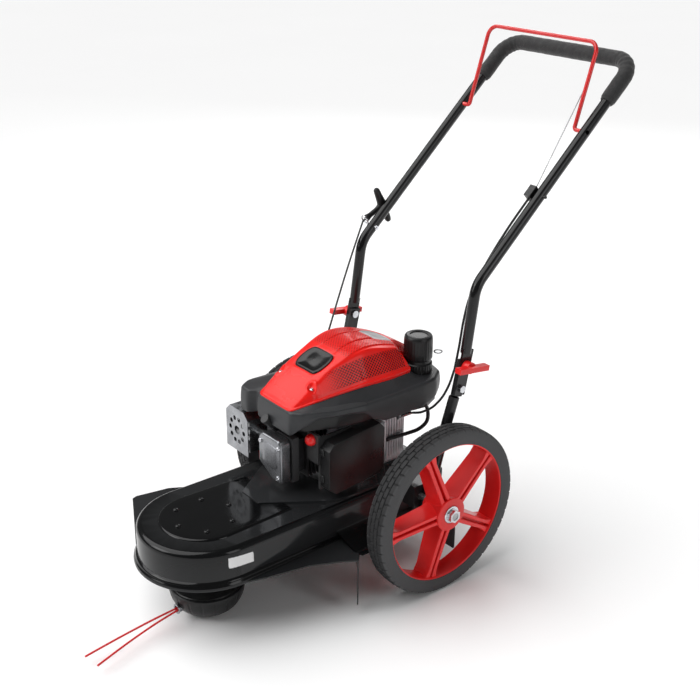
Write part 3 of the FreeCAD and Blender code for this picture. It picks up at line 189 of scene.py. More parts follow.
def tyre_finish():
    """Tyre rubber: grey moulded side walls, a darker scrubbed tread between them, pitted all over.

    The tread is the band between two distances from the machine's middle plane, each faded over
    a few millimetres.
    """
    inner_fade, outer_fade = (0.2045, 0.2075), (0.2445, 0.2478)
    material, tree, shader = blank("tyre_rubber")
    where = place(tree)
    across = work_out(tree, "ABSOLUTE", put(tree, "SeparateXYZ", {0: where}).outputs[0])
    tread = ramp(tree, across, *outer_fade, 1.0, 0.0)
    middle = work_out(tree, "MULTIPLY", tread, ramp(tree, across, *inner_fade))
    wide = noise(tree, where, 22.0, 5.0, 0.6)
    patches = ramp(tree, wide, 0.3, 0.75)
    wall = blend_colour(tree, patches, (0.058, 0.058, 0.060), (0.074, 0.074, 0.077))
    face = blend_colour(tree, patches, (0.017, 0.017, 0.018), (0.026, 0.026, 0.027))
    shade = blend_colour(tree, middle, wall, face)
    fill(tree, shader, {
        "Base Color": blend_colour(tree, edge_wear(tree, 0.54, 0.64), shade, (0.07, 0.07, 0.072)),
        "Roughness": ramp(tree, wide, 0.3, 0.8, 0.6, 0.8), "Specular IOR Level": 0.3})
    bump(tree, shader, noise(tree, where, 700.0, 4.0, 0.65), 0.25, 0.0008)
    return material


def cast(name, colour, dark, rough=0.42, grain=0.5, size=700.0):
    """Sand-cast or die-cast aluminium: grainy skin, darker stains, bright rubbed edges."""
    material, tree, shader = blank(name)
    where = place(tree)
    grit = noise(tree, where, size, 5.0, 0.7)
    wide = noise(tree, where, 30.0, 4.0, 0.6)
    shade = blend_colour(tree, ramp(tree, wide, 0.35, 0.75), colour, dark)
    fill(tree, shader, {
        "Base Color": blend_colour(tree, edge_wear(tree), shade, scaled(colour, 1.3)),
        "Roughness": ramp(tree, grit, 0.3, 0.7, rough - 0.08, rough + 0.12), "Metallic": 0.9})
    bump(tree, shader, grit, grain, 0.0006)
    return material


def turned_metal(name, colour, rough=0.26):
    """Machined steel: fine lines round the piece, faint darker patches."""
    material, tree, shader = blank(name)
    lines = noise(tree, place(tree, scale=(60, 60, 2600)), 1.0, 3.0, 0.6)
    wide = noise(tree, place(tree), 45.0, 3.0)
    fill(tree, shader, {
        "Base Color": blend_colour(tree, ramp(tree, wide, 0.3, 0.8), colour, scaled(colour, 0.6)),
        "Roughness": ramp(tree, lines, 0.3, 0.7, rough - 0.08, rough + 0.12), "Metallic": 1.0})
    bump(tree, shader, lines, 0.12, 0.0003)
    return material


def foamed(name, colour, second):
    """Closed-cell foam sleeve: small cells over soft lumps, and a dull sheen."""
    material, tree, shader = blank(name)
    where = place(tree)
    cells = put(tree, "TexVoronoi", {"Vector": where, "Scale": 900.0}, feature="F1").outputs[0]
    lumps = noise(tree, where, 120.0, 4.0, 0.6)
    fill(tree, shader, {
        "Base Color": blend_colour(tree, ramp(tree, cells, 0.1, 0.7), second, colour),
        "Roughness": ramp(tree, lumps, 0.3, 0.7, 0.62, 0.85),
        "Sheen Weight": 0.25, "Sheen Roughness": 0.5})
    under = bump(tree, shader, lumps, 0.25, 0.002)
    bump(tree, shader, cells, 0.5, 0.0008, under)
    return material


def braided(name, colour, second):
    """Braid that follows the piece's own UV map: u round the cord, v along it."""
    material, tree, shader = blank(name)
    where = place(tree, "UV", scale=(4, 4, 1), turn=(0, 0, math.radians(45)))
    weave = put(tree, "TexChecker", {"Vector": where, "Scale": 2.0}).outputs[1]
    fibre = noise(tree, place(tree, "UV", scale=(40, 6, 1)), 3.0, 4.0, 0.6)
    fill(tree, shader, {"Base Color": blend_colour(tree, fibre, colour, second),
                        "Roughness": ramp(tree, fibre, 0.2, 0.8, 0.55, 0.8)})
    under = bump(tree, shader, weave, 0.5, 0.0008)
    bump(tree, shader, fibre, 0.3, 0.0004, under)
    return material


def nylon(name, colour, second):
    """Extruded cutting line: half-clear nylon with faint lines along it."""
    material, tree, shader = blank(name)
    streak = noise(tree, place(tree, scale=(900, 60, 900)), 1.0, 3.0)
    fill(tree, shader, {"Base Color": blend_colour(tree, streak, colour, second),
                        "Roughness": ramp(tree, streak, 0.3, 0.7, 0.22, 0.4),
                        "Subsurface Weight": 0.25, "Subsurface Scale": 0.002})
    bump(tree, shader, streak, 0.2, 0.0003)
    return material


finishes = {
    "frame_black": painted("black_deck_paint", (0.003, 0.0032, 0.0035), (0.006, 0.0064, 0.007), 0.08, 0.025,
                           coat=0.1, shine=0.22),
    "tube_black": painted("black_tube_paint", (0.003, 0.003, 0.0032), (0.006, 0.006, 0.0065), 0.1, 0.02,
                          coat=0.15, shine=0.28),
    "cowl_red": moulded("red_cowl_plastic", (0.68, 0.014, 0.012), (0.56, 0.01, 0.009), 0.3, 0.08,
                        1500.0, 0.35),
    "red_plastic": moulded("red_wheel_plastic", (0.80, 0.013, 0.013), (0.68, 0.010, 0.010), 0.36, 0.1,
                           1300.0, 0.15),
    "red_enamel": painted("red_bail_enamel", (0.6, 0.012, 0.012), (0.66, 0.03, 0.026), 0.16, 0.03, 0.5),
    "shroud_grey": moulded("grey_shroud_plastic", (0.024, 0.025, 0.027), (0.034, 0.035, 0.038), 0.42, 0.2),
    "black_plastic": moulded("black_box_plastic", (0.0075, 0.0075, 0.008), (0.012, 0.012, 0.0125), 0.32, 0.08,
                             shine=0.3),
    "foam": foamed("black_foam", (0.012, 0.012, 0.013), (0.004, 0.004, 0.004)),
    "rubber": rubbery("black_rubber", (0.011, 0.011, 0.012), (0.022, 0.022, 0.023)),
    "tyre": tyre_finish(),
    "cast_aluminium": cast("cast_aluminium", (0.55, 0.56, 0.58), (0.32, 0.33, 0.34)),
    "silver": cast("silver_cover", (0.26, 0.265, 0.28), (0.16, 0.165, 0.175), 0.27, 0.06, 1100.0),
    "zinc": turned_metal("bright_zinc", (0.72, 0.73, 0.76), 0.2),
    "steel": turned_metal("turned_steel", (0.46, 0.47, 0.48)),
    "badge": moulded("badge_plastic", (0.004, 0.004, 0.0045), (0.006, 0.006, 0.0065), 0.16, 0.015,
                     1500.0, 0.15, 0.22),
    "nylon_red": nylon("red_cutting_line", (0.75, 0.03, 0.035), (0.6, 0.015, 0.02)),
    "cable_black": rubbery("black_cable_jacket", (0.008, 0.008, 0.0085), (0.016, 0.016, 0.017), 0.45,
                           1400.0, 0.12),
    "rope": braided("black_starter_rope", (0.012, 0.012, 0.013), (0.05, 0.05, 0.052)),
}

for part in frame["record"]["subparts"]:
    mesh = nodes[part["node"]].data
    mesh.materials.clear()
    mesh.materials.append(finishes[part["material_slot"]])

own_finishes = {
    "cylinder": cast("dark_cylinder", (0.06, 0.06, 0.062), (0.025, 0.025, 0.026), 0.5),
    "muffler_guard": turned_metal("guard_steel", (0.40, 0.41, 0.43), 0.3),
}
for node, material in own_finishes.items():
    nodes[node].data.materials[0] = material


# ---- mesh building

def add_object(name, data):
    """A new object, linked into the scene."""
    thing = bpy.data.objects.new(name, data)
    bpy.context.scene.collection.objects.link(thing)
    return thing


def mesh_piece(name, points, faces, body, slot, material=None, uv=None):
    """A new smooth mesh piece at the origin, attached to its body when one is given."""
    data = bpy.data.meshes.new(name)
    data.from_pydata(np.asarray(points, float).reshape(-1, 3).tolist(), [], np.asarray(faces, int).tolist())
    if uv is not None:
        layer = data.uv_layers.new(name="UVMap")
        layer.data.foreach_set("uv", np.asarray(uv, np.float32).reshape(-1))
    data.shade_smooth()
    data.materials.append(material or finishes[slot])
    piece = add_object(name, data)
    if body:
        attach(piece, body)
    return piece


def curve_piece(name, route, diameter):
    """A round cord on one smooth spline with the route's points as its control points."""
    data = bpy.data.curves.new(name, "CURVE")
    data.dimensions = "3D"
    data.bevel_depth = diameter / 2
    data.bevel_resolution = 5
    data.resolution_u = 12
    data.use_fill_caps = True
    spline = data.splines.new("NURBS")
    spline.points.add(len(route) - 1)
    for control, place_at in zip(spline.points, route):
        control.co = (*place_at, 1)
    spline.order_u = 3
    spline.use_endpoint_u = True
    return add_object(name, data)


# ---- surface helpers

def full_turn(count, start=0.0):
    """Angles evenly spaced once round, without the closing one."""
    return np.linspace(start, start + 2 * np.pi, count, endpoint=False)


def grid_faces(rows, columns, wrap=False):
    """Quads of a grid of rows x columns points; wrap joins the last column to the first."""
    row, column = np.meshgrid(np.arange(rows - 1), np.arange(columns if wrap else columns - 1), indexing="ij")
    here, above, after = row * columns, (row + 1) * columns, (column + 1) % columns
    return np.stack((here + column, here + after, above + after, above + column), -1).reshape(-1, 4)


def ease(value, low, high):
    """0 below low, 1 above high, and a smooth S between them."""
    share = np.clip((value - low) / (high - low), 0, 1)
    return share * share * (3 - 2 * share)


def radial_table(centre, outline, blur):
    """A closed outline as distances from a centre, and heights, by angle, with its corners rounded.

    The outline is a ring of ((x, y), z) corners. Its straight sides are sampled densely, sorted by
    angle and averaged round the ring with a Gaussian weight, blur degrees wide.
    """
    corners = np.array([(*place_at, high) for place_at, high in outline])
    share = np.linspace(0, 1, 200, endpoint=False)[:, None, None]
    dense = corners * (1 - share) + np.roll(corners, -1, 0) * share
    dense = dense.transpose(1, 0, 2).reshape(-1, 3)
    away = dense[:, :2] - np.array(centre)
    angle = np.arctan2(away[:, 1], away[:, 0])
    order = np.argsort(angle)
    count = 1440
    ring = full_turn(count, -np.pi)
    spread = np.exp(-0.5 * (np.fft.fftfreq(count, 1 / count) * 360 / count / blur) ** 2)
    kernel = np.fft.fft(spread / spread.sum())
    table = [ring]
    for values in (np.hypot(*away.T), dense[:, 2]):
        level = np.interp(ring, angle[order], values[order], period=2 * np.pi)
        table.append(np.fft.ifft(np.fft.fft(level) * kernel).real)
    return table


def read_table(table, angle):
    """An outline's distance from its centre, and its height, at each angle."""
    return [np.interp(angle, table[0], column, period=2 * np.pi) for column in table[1:]]


def polar_piece(name, centre, angles, radius, height, body, slot):
    """A closed surface of rings about an upright axis: radius and height by level and angle."""
    radius, height = np.broadcast_arrays(radius, height)
    points = np.stack((centre[0] + radius * np.cos(angles), centre[1] + radius * np.sin(angles), height), -1)
    return mesh_piece(name, points, grid_faces(len(radius), len(angles), wrap=True), body, slot)


def loop_uv(faces, columns, u, v):
    """Per-corner UVs of a wrapped grid; the last column's far side is one whole turn on."""
    first = np.asarray(faces)
    uv = np.stack((u.reshape(-1)[first], v.reshape(-1)[first]), -1)
    seam = (first % columns).max(1) - (first % columns).min(1) > 1
    low = (first % columns) == 0
    uv[seam[:, None] & low, 0] += 1.0
    return uv.reshape(-1, 2)


def swept(name, path, radii, body, slot, sides):
    """A closed tube along a path of points: a circle of the given radius is carried along without twist.

    Each frame is the one before it turned by the least that brings it square to the path; u runs
    round the tube and v along it in metres; both ends are closed by a point.
    """
    path = np.asarray(path, float)
    radii = np.broadcast_to(np.asarray(radii, float), len(path))
    along = np.gradient(path, axis=0)
    along /= np.linalg.norm(along, axis=1)[:, None]
    side = np.cross(along[0], (0.31, 0.22, 0.92))
    frames = []
    for direction in along:
        side = side - direction * side.dot(direction)
        side /= np.linalg.norm(side)
        frames.append((side, np.cross(direction, side)))
    frames = np.array(frames)
    turn = full_turn(sides)[None, :, None]
    circle = np.cos(turn) * frames[:, None, 0] + np.sin(turn) * frames[:, None, 1]
    points = path[:, None] + circle * radii[:, None, None]
    first, last = (np.tile(end, (1, sides, 1)) for end in (path[0], path[-1]))
    points = np.concatenate((first, points, last))
    faces = grid_faces(len(points), sides, wrap=True)
    step = np.concatenate(([0, 0], np.cumsum(np.linalg.norm(np.diff(path, axis=0), axis=1)), [0]))
    step[-1] = step[-2]
    u, v = np.meshgrid(np.arange(sides) / sides, step)
    return finished(mesh_piece(name, points, faces, None, slot, uv=loop_uv(faces, sides, u, v)), body=body)


def close_ends(piece):
    """Merges the points that lie on each other and turns every face outwards."""
    mesh = bmesh.new()
    mesh.from_mesh(piece.data)
    bmesh.ops.remove_doubles(mesh, verts=mesh.verts, dist=1e-6)
    bmesh.ops.recalc_face_normals(mesh, faces=mesh.faces)
    mesh.to_mesh(piece.data)
    mesh.free()


def spline_path(points, step=0.002):
    """Points along a quadratic B-spline that starts and ends on its first and last control points."""
    control = np.asarray(points, float)
    knots = np.concatenate(([control[0]], (control[1:-2] + control[2:-1]) / 2, [control[-1]]))
    pieces = []
    for start, middle, end in zip(knots, control[1:-1], knots[1:]):
        share = np.linspace(0, 1, max(4, int(np.linalg.norm(end - start) / step)), endpoint=False)[:, None]
        pieces.append((1 - share) ** 2 * start + 2 * share * (1 - share) * middle + share ** 2 * end)
    return np.concatenate(pieces + [control[-1:]])


def rounded_route(corners, bends, step=0.004):
    """A bent bar's centre line: straight runs joined by arcs of the given radii."""
    corners = np.asarray(corners, float)
    points = [corners[:1]]
    for before, corner, after, bend in zip(corners, corners[1:], corners[2:], bends):
        back = (before - corner) / np.linalg.norm(before - corner)
        ahead = (after - corner) / np.linalg.norm(after - corner)
        half = math.acos(float(back.dot(ahead))) / 2
        middle = corner + (back + ahead) / np.linalg.norm(back + ahead) * bend / math.sin(half)
        first, last = corner + back * bend / math.tan(half), corner + ahead * bend / math.tan(half)
        share = np.linspace(0, 1, 17)[:, None]
        arc = (first - middle) * (1 - share) + (last - middle) * share
        arc = middle + arc / np.linalg.norm(arc, axis=1)[:, None] * bend
        points.append(arc)
    points.append(corners[-1:])
    dense = [points[0]]
    joined = np.concatenate(points)
    for start, end in zip(joined, joined[1:]):
        count = max(1, int(np.linalg.norm(end - start) / step))
        dense.append(start + (end - start) * (np.arange(1, count + 1) / count)[:, None])
    return np.concatenate(dense)


def spun(name, profile, centre, body, slot, axis="X", side=1, count=96):
    """A closed profile of (along, radius) points turned about an axis; side -1 mirrors it along the axis."""
    along, radius = np.array(profile, float).T[..., None]
    turn = full_turn(count)
    p, q = radius * np.cos(turn), radius * np.sin(turn)
    a = np.broadcast_to(along * side, p.shape)
    stack = {"X": (a, p, q), "Y": (p, a, q), "Z": (p, q, a)}[axis]
    points = np.stack(stack, -1) + np.array(centre)
    return finished(mesh_piece(name, points, grid_faces(len(along), count, wrap=True), None, slot), body=body)


def creased(piece, degrees=35.0):
    """Smooth shading that stays sharp at edges steeper than the angle."""
    piece.data.shade_smooth()
    piece.data.set_sharp_from_angle(angle=math.radians(degrees))
    return piece


def finished(piece, sharp=None, body=None, node=None):
    """Closes a piece's seams and poles, shades it, gives it its body and hides the CAD node it stands for."""
    close_ends(piece)
    if sharp:
        creased(piece, sharp)
    if body:
        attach(piece, body)
    if node:
        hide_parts(node)
    return piece


def joined(name, pieces, body, slot):
    """Several meshes as one piece."""
    mesh = bmesh.new()
    for piece in pieces:
        mesh.from_mesh(piece.data)
    data = bpy.data.meshes.new(name)
    mesh.to_mesh(data)
    mesh.free()
    data.materials.append(finishes[slot])
    whole = add_object(name, data)
    for piece in pieces:
        bpy.data.objects.remove(piece)
    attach(whole, body)
    return whole


# ---- engine covers

ENGINE = (0.0, -0.060)
CROWN = 0.4895
FACET_SLOPE = 1.9
# Outlines seen from above: a ring of ((x, y), height) corners.
COWL_EDGE = (
    ((-0.052, -0.243), 0.403), ((0.052, -0.243), 0.403), ((0.068, -0.193), 0.414), ((0.089, -0.088), 0.430),
    ((0.095, -0.02), 0.432), ((0.086, 0.034), 0.428), ((0.046, 0.040), 0.438), ((0.024, 0.102), 0.424),
    ((-0.070, 0.102), 0.420), ((-0.098, 0.045), 0.428), ((-0.100, -0.02), 0.431), ((-0.094, -0.088), 0.430),
    ((-0.070, -0.193), 0.414))
SHROUD_EDGE = (
    ((-0.054, -0.247), 0.352), ((0.056, -0.247), 0.351), ((0.074, -0.232), 0.370), ((0.089, -0.201), 0.387),
    ((0.104, -0.170), 0.388), ((0.111, -0.140), 0.388), ((0.117, -0.110), 0.383), ((0.117, -0.085), 0.362),
    ((0.117, -0.055), 0.351), ((0.117, -0.020), 0.350), ((0.117, 0.045), 0.352), ((0.113, 0.080), 0.362),
    ((0.090, 0.112), 0.366), ((0.050, 0.124), 0.366), ((-0.050, 0.124), 0.356), ((-0.096, 0.104), 0.352),
    ((-0.117, 0.050), 0.350), ((-0.117, -0.075), 0.350), ((-0.120, -0.170), 0.350), ((-0.121, -0.228), 0.348),
    ((-0.106, -0.252), 0.348), ((-0.076, -0.254), 0.352), ((-0.062, -0.236), 0.358))
cowl_table = radial_table(ENGINE, COWL_EDGE, 1.6)
shroud_table = radial_table(ENGINE, SHROUD_EDGE, 1.1)
SCREWS = ((-0.051, -0.191), (0.051, -0.191))
# Each plate: middle x, middle y, half width, half length.
BADGES = ((0.0, -0.146, 0.038, 0.026), (0.0, 0.010, 0.032, 0.024))


def cowl_height(x, y):
    """Height of the red cover: the lower of its arched top and of facets that rise from the edge.

    Each facet rises in proportion to the distance from the edge line, and a smooth minimum rounds
    the crease between facet and top. Long ridges are raised; side panels, screw wells and plate
    seats are sunk.
    """
    dx, dy = x - ENGINE[0], y - ENGINE[1]
    edge, low = read_table(cowl_table, np.arctan2(dy, dx))
    share = np.clip(np.hypot(dx, dy) / edge, 0, 1)
    facet = FACET_SLOPE * edge_distance(x, y) * ease(1 - share, 0.0, 0.05)
    rise = np.clip(crown_line(x, y) - low, 0, 1)
    crease = 0.006
    mix = np.clip(0.5 + 0.5 * (facet - rise) / crease, 0, 1)
    height = low + facet * (1 - mix) + rise * mix - crease * mix * (1 - mix)
    ridge_high, panel_deep, seat_deep = 0.0022, 0.0018, 0.0015
    long_way = ease(y, -0.125, -0.09) * (1 - ease(y, 0.055, 0.085))
    for middle, half in ((0.040, 0.0125), (-0.040, 0.0125), (0.0, 0.019)):
        band = 1 - ease(np.abs(x - middle), half, half + 0.004)
        height = height + ridge_high * band * long_way * (1 - ease(share, 0.86, 0.95))
    height = height - panel_deep * vent_side(x, y)
    well_deep, lip_high, lip_reach, lip_wide = 0.006, 0.0016, 0.010, 0.0025
    for sx, sy in SCREWS:
        reach = np.hypot(x - sx, y - sy)
        lip = lip_high * np.exp(-((reach - lip_reach) / lip_wide) ** 2)
        height = height - well_deep * (1 - ease(reach, 0.0048, 0.0085)) + lip
    for bx, by, half_x, half_y in BADGES:
        inside = badge_share(x - bx, y - by, half_x + seat_deep, half_y + seat_deep)
        height = height - seat_deep * (1 - ease(inside, 0.98, 1.04))
    return height


def crown_line(x, y):
    """Height of the cover's arched top: it falls ahead of and behind the crown, and a little to the sides."""
    ahead = np.clip((ENGINE[1] - y) / 0.183, 0, 1.2)
    behind = np.clip((y - ENGINE[1]) / 0.165, 0, 1.2)
    return CROWN - 0.086 * ahead ** 1.7 - 0.062 * behind ** 1.8 - 0.004 * (x / 0.06) ** 2


def edge_distance(x, y):
    """Distance in plan from the cowl's edge line: a smooth minimum over its straight sides."""
    corners = np.array([p for p, z in COWL_EDGE])
    soft = 0.0013
    total = np.zeros(np.broadcast(x, y).shape)
    for start, end in zip(corners, np.roll(corners, -1, 0)):
        way = end - start
        along = np.clip(((x - start[0]) * way[0] + (y - start[1]) * way[1]) / way.dot(way), 0, 1)
        away = np.hypot(x - start[0] - along * way[0], y - start[1] - along * way[1])
        total = total + np.exp(-away / soft)
    return -soft * np.log(np.maximum(total, 1e-30))


def vent_side(x, y):
    """1 on the two side panels with square holes, 0 off them."""
    near = edge_distance(x, y)
    across = ease(near, 0.0035, 0.0045) * (1 - ease(near, 0.0225, 0.0235))
    along = ease(y, -0.172, -0.115) * (1 - ease(y, 0.018, 0.022))
    return across * along * ease(np.abs(x), 0.035, 0.045)


def badge_share(dx, dy, half_x, half_y):
    """1 on the outline of a six-sided plate with slightly rounded corners, less inside it."""
    across, along = np.abs(dx) / half_x, np.abs(dy) / half_y
    return (along ** 14 + (0.80 * across + 0.36 * along) ** 14 + across ** 14) ** (1 / 14)


def vented_red():
    """Red cover finish: moulded grain, with small square holes of painted shade where the vent mask is set.
    """
    material, tree, shader = blank("red_vented_plastic")
    where = place(tree)
    grain = spark_grain(tree, where, 1500.0)
    wide = noise(tree, where, 12.0, 4.0, 0.55)
    colour = blend_colour(tree, ramp(tree, wide, 0.3, 0.7), (0.87, 0.012, 0.008), (0.78, 0.010, 0.007))
    worn = blend_colour(tree, edge_wear(tree, 0.54, 0.66), colour, (0.8, 0.06, 0.05))
    mask = put(tree, "Attribute", attribute_name="vent").outputs["Fac"]
    lattice = place(tree, "UV", turn=(0, 0, math.radians(45)))
    cell = put(tree, "TexVoronoi", {"Vector": lattice, "Scale": 200.0, "Randomness": 0.0},
               voronoi_dimensions="2D", distance="CHEBYCHEV").outputs[0]
    # Painted shade: the holes are coloured near-black for the dark inside them, less where the mask is faint.
    shaded_hole = work_out(tree, "MULTIPLY", ramp(tree, cell, 0.36, 0.29), mask)
    fill(tree, shader, {
        # (0.006, 0.001, 0.001) is the painted shade inside the vent holes.
        "Base Color": blend_colour(tree, shaded_hole, worn, (0.006, 0.001, 0.001)),
        "Roughness": ramp(tree, wide, 0.3, 0.75, 0.24, 0.36),
        "Coat Weight": 0.12, "Coat Roughness": 0.1, "Specular IOR Level": 0.25})
    under = bump(tree, shader, grain, 0.06, 0.0003)
    bump(tree, shader, work_out(tree, "SUBTRACT", 1.0, shaded_hole), 0.8, 0.0015, under)
    return material


def build_cowl():
    """The red cover as one polar sheet, turned down at its edge into the grey shroud.

    Each lip row is (share of the edge's distance, height above the edge, distance outwards). The
    vent mask, which places the square holes and their painted shade, is full on the side panels and
    fainter on the top between the plates.
    """
    lip = np.array(((1.0, -0.0012, 0.00132), (0.9975, -0.0035, 0.00168), (0.992, -0.009, 0.00168),
                    (0.975, -0.009, 0.0)))
    faint, side_reach = 0.4, 0.026
    angles = full_turn(720, -np.pi)
    edge, low = read_table(cowl_table, angles)
    radius = np.concatenate(([0.002], np.linspace(0.02, 1, 108)))[:, None] * edge
    height = cowl_height(ENGINE[0] + radius * np.cos(angles), ENGINE[1] + radius * np.sin(angles))
    radius = np.concatenate((radius, edge * lip[:, :1] + lip[:, 2:]))
    height = np.concatenate((height, low + lip[:, 1:2]))
    x, y = ENGINE[0] + radius * np.cos(angles), ENGINE[1] + radius * np.sin(angles)
    top = (1 - ease(np.abs(x), 0.052, 0.056)) * ease(y, -0.112, -0.105) * (1 - ease(y, 0.07, 0.078))
    for bx, by, half_x, half_y in BADGES:
        top = top * ease(badge_share(x - bx, y - by, half_x, half_y), 1.12, 1.2)
    # vent: where the square holes and their painted shade go.
    vent = np.clip(vent_side(x, y) + faint * top, 0, 1)
    near = edge_distance(x, y)
    side = np.where(near < side_reach, near * math.hypot(1, FACET_SLOPE), np.abs(x))
    faces = grid_faces(len(radius), len(angles), wrap=True)
    uv = np.stack((y.reshape(-1)[faces], side.reshape(-1)[faces]), -1).reshape(-1, 2)
    points = np.stack((x, y, height), -1)
    cowl = mesh_piece("engine_cowl", points, faces, "chassis", "cowl_red", vented_red(), uv)
    mask = cowl.data.attributes.new("vent", "FLOAT", "POINT")
    mask.data.foreach_set("value", vent.reshape(-1).astype(np.float32))
    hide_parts("cowl")


def build_badges():
    """Two plain plates let into the cowl: each follows the crown line, a little raised inside its outline."""
    plain_plate = painted("plain_silver_plate", (0.34, 0.34, 0.35), (0.28, 0.28, 0.29), 0.25, 0.02, 0.2)
    levels = np.array(((0.01, 0.0006), (0.4, 0.0006), (0.8, 0.0006), (0.86, 0.0014), (0.94, 0.0016),
                       (0.99, 0.0008), (1.0, -0.003)))
    turn = full_turn(120)
    for k, (bx, by, half_x, half_y) in enumerate(BADGES):
        reach = levels[:, :1] / badge_share(np.cos(turn) * half_x, np.sin(turn) * half_y, half_x, half_y)
        x, y = bx + reach * np.cos(turn) * half_x, by + reach * np.sin(turn) * half_y
        points = np.stack((x, y, crown_line(x, y) + levels[:, 1:] + 0.0002), -1)
        badge = mesh_piece(f"cowl_plate_{k + 1}", points, grid_faces(len(levels), len(turn), wrap=True),
                           "chassis", "badge", (finishes["badge"], plain_plate)[k])
        finished(badge, 50, node="cowl_badges")
    profile = ((0.0, 0.0), (0.0, 0.0042), (0.0012, 0.0042), (0.0022, 0.0034), (0.0026, 0.0022),
               (0.0012, 0.0016), (0.0008, 0.0))
    for k, (sx, sy) in enumerate(SCREWS):
        seat = float(cowl_height(np.array(sx), np.array(sy))) + 0.0002
        creased(spun(f"cowl_screw_{k + 1}", profile, (sx, sy, seat), "chassis", "zinc", "Z", count=36))


def build_shroud():
    """The grey shroud: a band from the cowl's edge to a rounded rim, a wall below it and a turned-in lip.

    The band falls by a power of its share of the way out; rim and power both rise near the filler cap.
    """
    angles = full_turn(720, -np.pi)
    inner, inner_z = read_table(cowl_table, angles)
    inner, inner_z = inner - 0.0035, inner_z - 0.0015
    outer, bottom = read_table(shroud_table, angles)
    at_cap = np.exp(-((angles - math.radians(65)) / math.radians(26)) ** 2)
    rim, power = 0.400 + 0.004 * at_cap, 1.15 + 3.5 * at_cap
    fillet, belly = 0.007, 0.0015
    share = np.linspace(0, 1, 22)[:, None]
    band_r = inner + (outer - fillet - inner) * share
    band_z = rim + (inner_z - rim) * (1 - share) ** power
    turn = np.linspace(0, np.pi / 2, 7)[1:, None]
    edge_r = outer - fillet + fillet * np.sin(turn)
    edge_z = rim - fillet + fillet * np.cos(turn)
    fall = np.linspace(0, 1, 12)[1:, None]
    wall_z = (rim - fillet) + (bottom - rim + fillet) * fall
    wall_r = outer + belly * np.sin(fall * np.pi)
    lip = np.array(((-0.0006, -0.0012), (-0.0024, -0.0014), (-0.0030, 0.0), (-0.0030, 0.022)))
    radius = np.concatenate((band_r, edge_r, wall_r, outer + lip[:, :1]))
    height = np.concatenate((band_z, edge_z, wall_z, bottom + lip[:, 1:]))
    shroud = polar_piece("engine_shroud", ENGINE, angles, radius, height, "chassis", "shroud_grey")
    creased(shroud, 50)
    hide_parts("fan_shroud")


# ---- wheels

WHEEL_MIDDLE = 0.226
AXLE = (0.001, 0.178)
TYRE_RADIUS = 0.178
TREAD_HALF = 0.0208
TREAD_BLOCKS = 52
GROOVE_DEEP = 0.0026
SPOKES = 5
FIRST_SPOKE = 39
SIDES = ((1, "left"), (-1, "right"))


def build_tyre(side, word):
    """A tyre with staggered tread blocks.

    Its section is a rounded rectangle of (across, radius) points carried round the axle; the
    radius drops by the groove depth where the angle, shifted by a half block from row to row,
    lies between blocks, and along thin grooves round the tread.
    """
    wall = [(-0.0205, 0.1468), (-0.0228, 0.1476), (-0.0232, 0.1495), (-0.0228, 0.151), (-0.0234, 0.1535),
            (-0.0236, 0.164), (-0.0230, 0.169), (-0.0228, 0.1725), (-0.0220, 0.1750)]
    crown = [(a, TYRE_RADIUS - 0.0022 * (abs(a) / 0.0215) ** 4)
             for a in np.linspace(-TREAD_HALF, TREAD_HALF, 33)]
    section = wall + crown + [(-a, r) for a, r in reversed(wall)] + [(0.0, 0.1464), wall[0]]
    across, radius = np.array(section).T
    turn = full_turn(832)
    a, t = np.meshgrid(across, turn, indexing="ij")
    r = np.broadcast_to(radius[:, None], a.shape)
    row_wide, slant = TREAD_HALF / 2, 7.0
    row = np.floor((a + TREAD_HALF) / row_wide).clip(0, 3)
    phase = t * TREAD_BLOCKS / (2 * np.pi) + 0.5 * (row % 2) + slant * a
    between = 1 - ease(np.abs(phase - np.round(phase)), 0.045, 0.075)
    rings = sum(1 - ease(np.abs(np.abs(a) - at), 0.0005, 0.0011) for at in (0.0, row_wide))
    cut = np.clip(np.maximum(between, rings * (np.abs(a) < 0.02)), 0, 1)
    r = r - GROOVE_DEEP * cut * ease(r, 0.1715, 0.1738)
    points = np.stack((side * (WHEEL_MIDDLE + a), AXLE[0] + r * np.cos(t), AXLE[1] + r * np.sin(t)), -1)
    faces = grid_faces(len(across), len(turn), wrap=True)
    tyre = mesh_piece("treaded_tyre_" + word, points, faces, None, "tyre")
    finished(tyre, 40, "wheel_" + word, "tyre_" + word)


def spoke(side, angle):
    """One spoke: a deep box section with two ribs and a groove on its outer face, carried from hub to rim.

    Across the spoke w and along the axle a give the section; both taper with the distance from
    the axle, and the outer face leans in towards the rim.
    """
    reach = np.linspace(0.018, 0.1445, 15)
    share = (reach - reach[0]) / (reach[-1] - reach[0])
    half = 0.0118 - 0.0012 * share + 0.005 * ease(share, 0.86, 1.0) + 0.004 * (1 - ease(share, 0.0, 0.16))
    inside, outside = 0.2035 + 0.001 * share, 0.2545 - 0.0105 * share ** 0.8
    groove = 0.0034 - 0.001 * share
    floor = outside - (0.012 - 0.002 * share)
    shoulder, step = outside - 0.0012, outside - 0.0014
    w = np.stack((-half * 0.8, half * 0.8, half, half, half - 0.0010, groove + 0.0012, groove, groove * 0.7,
                  -groove * 0.7, -groove, -groove - 0.0012, -half + 0.0010, -half, -half), 1)
    a = np.stack((inside, inside, inside + 0.002, step, outside, outside, shoulder, floor,
                  floor, shoulder, outside, outside, step, inside + 0.002), 1)
    r = reach[:, None]
    y = AXLE[0] + r * math.cos(angle) - w * math.sin(angle)
    z = AXLE[1] + r * math.sin(angle) + w * math.cos(angle)
    faces = grid_faces(len(reach), w.shape[1], wrap=True)
    return mesh_piece("spoke", np.stack((side * a, y, z), -1), faces, None, "red_plastic")


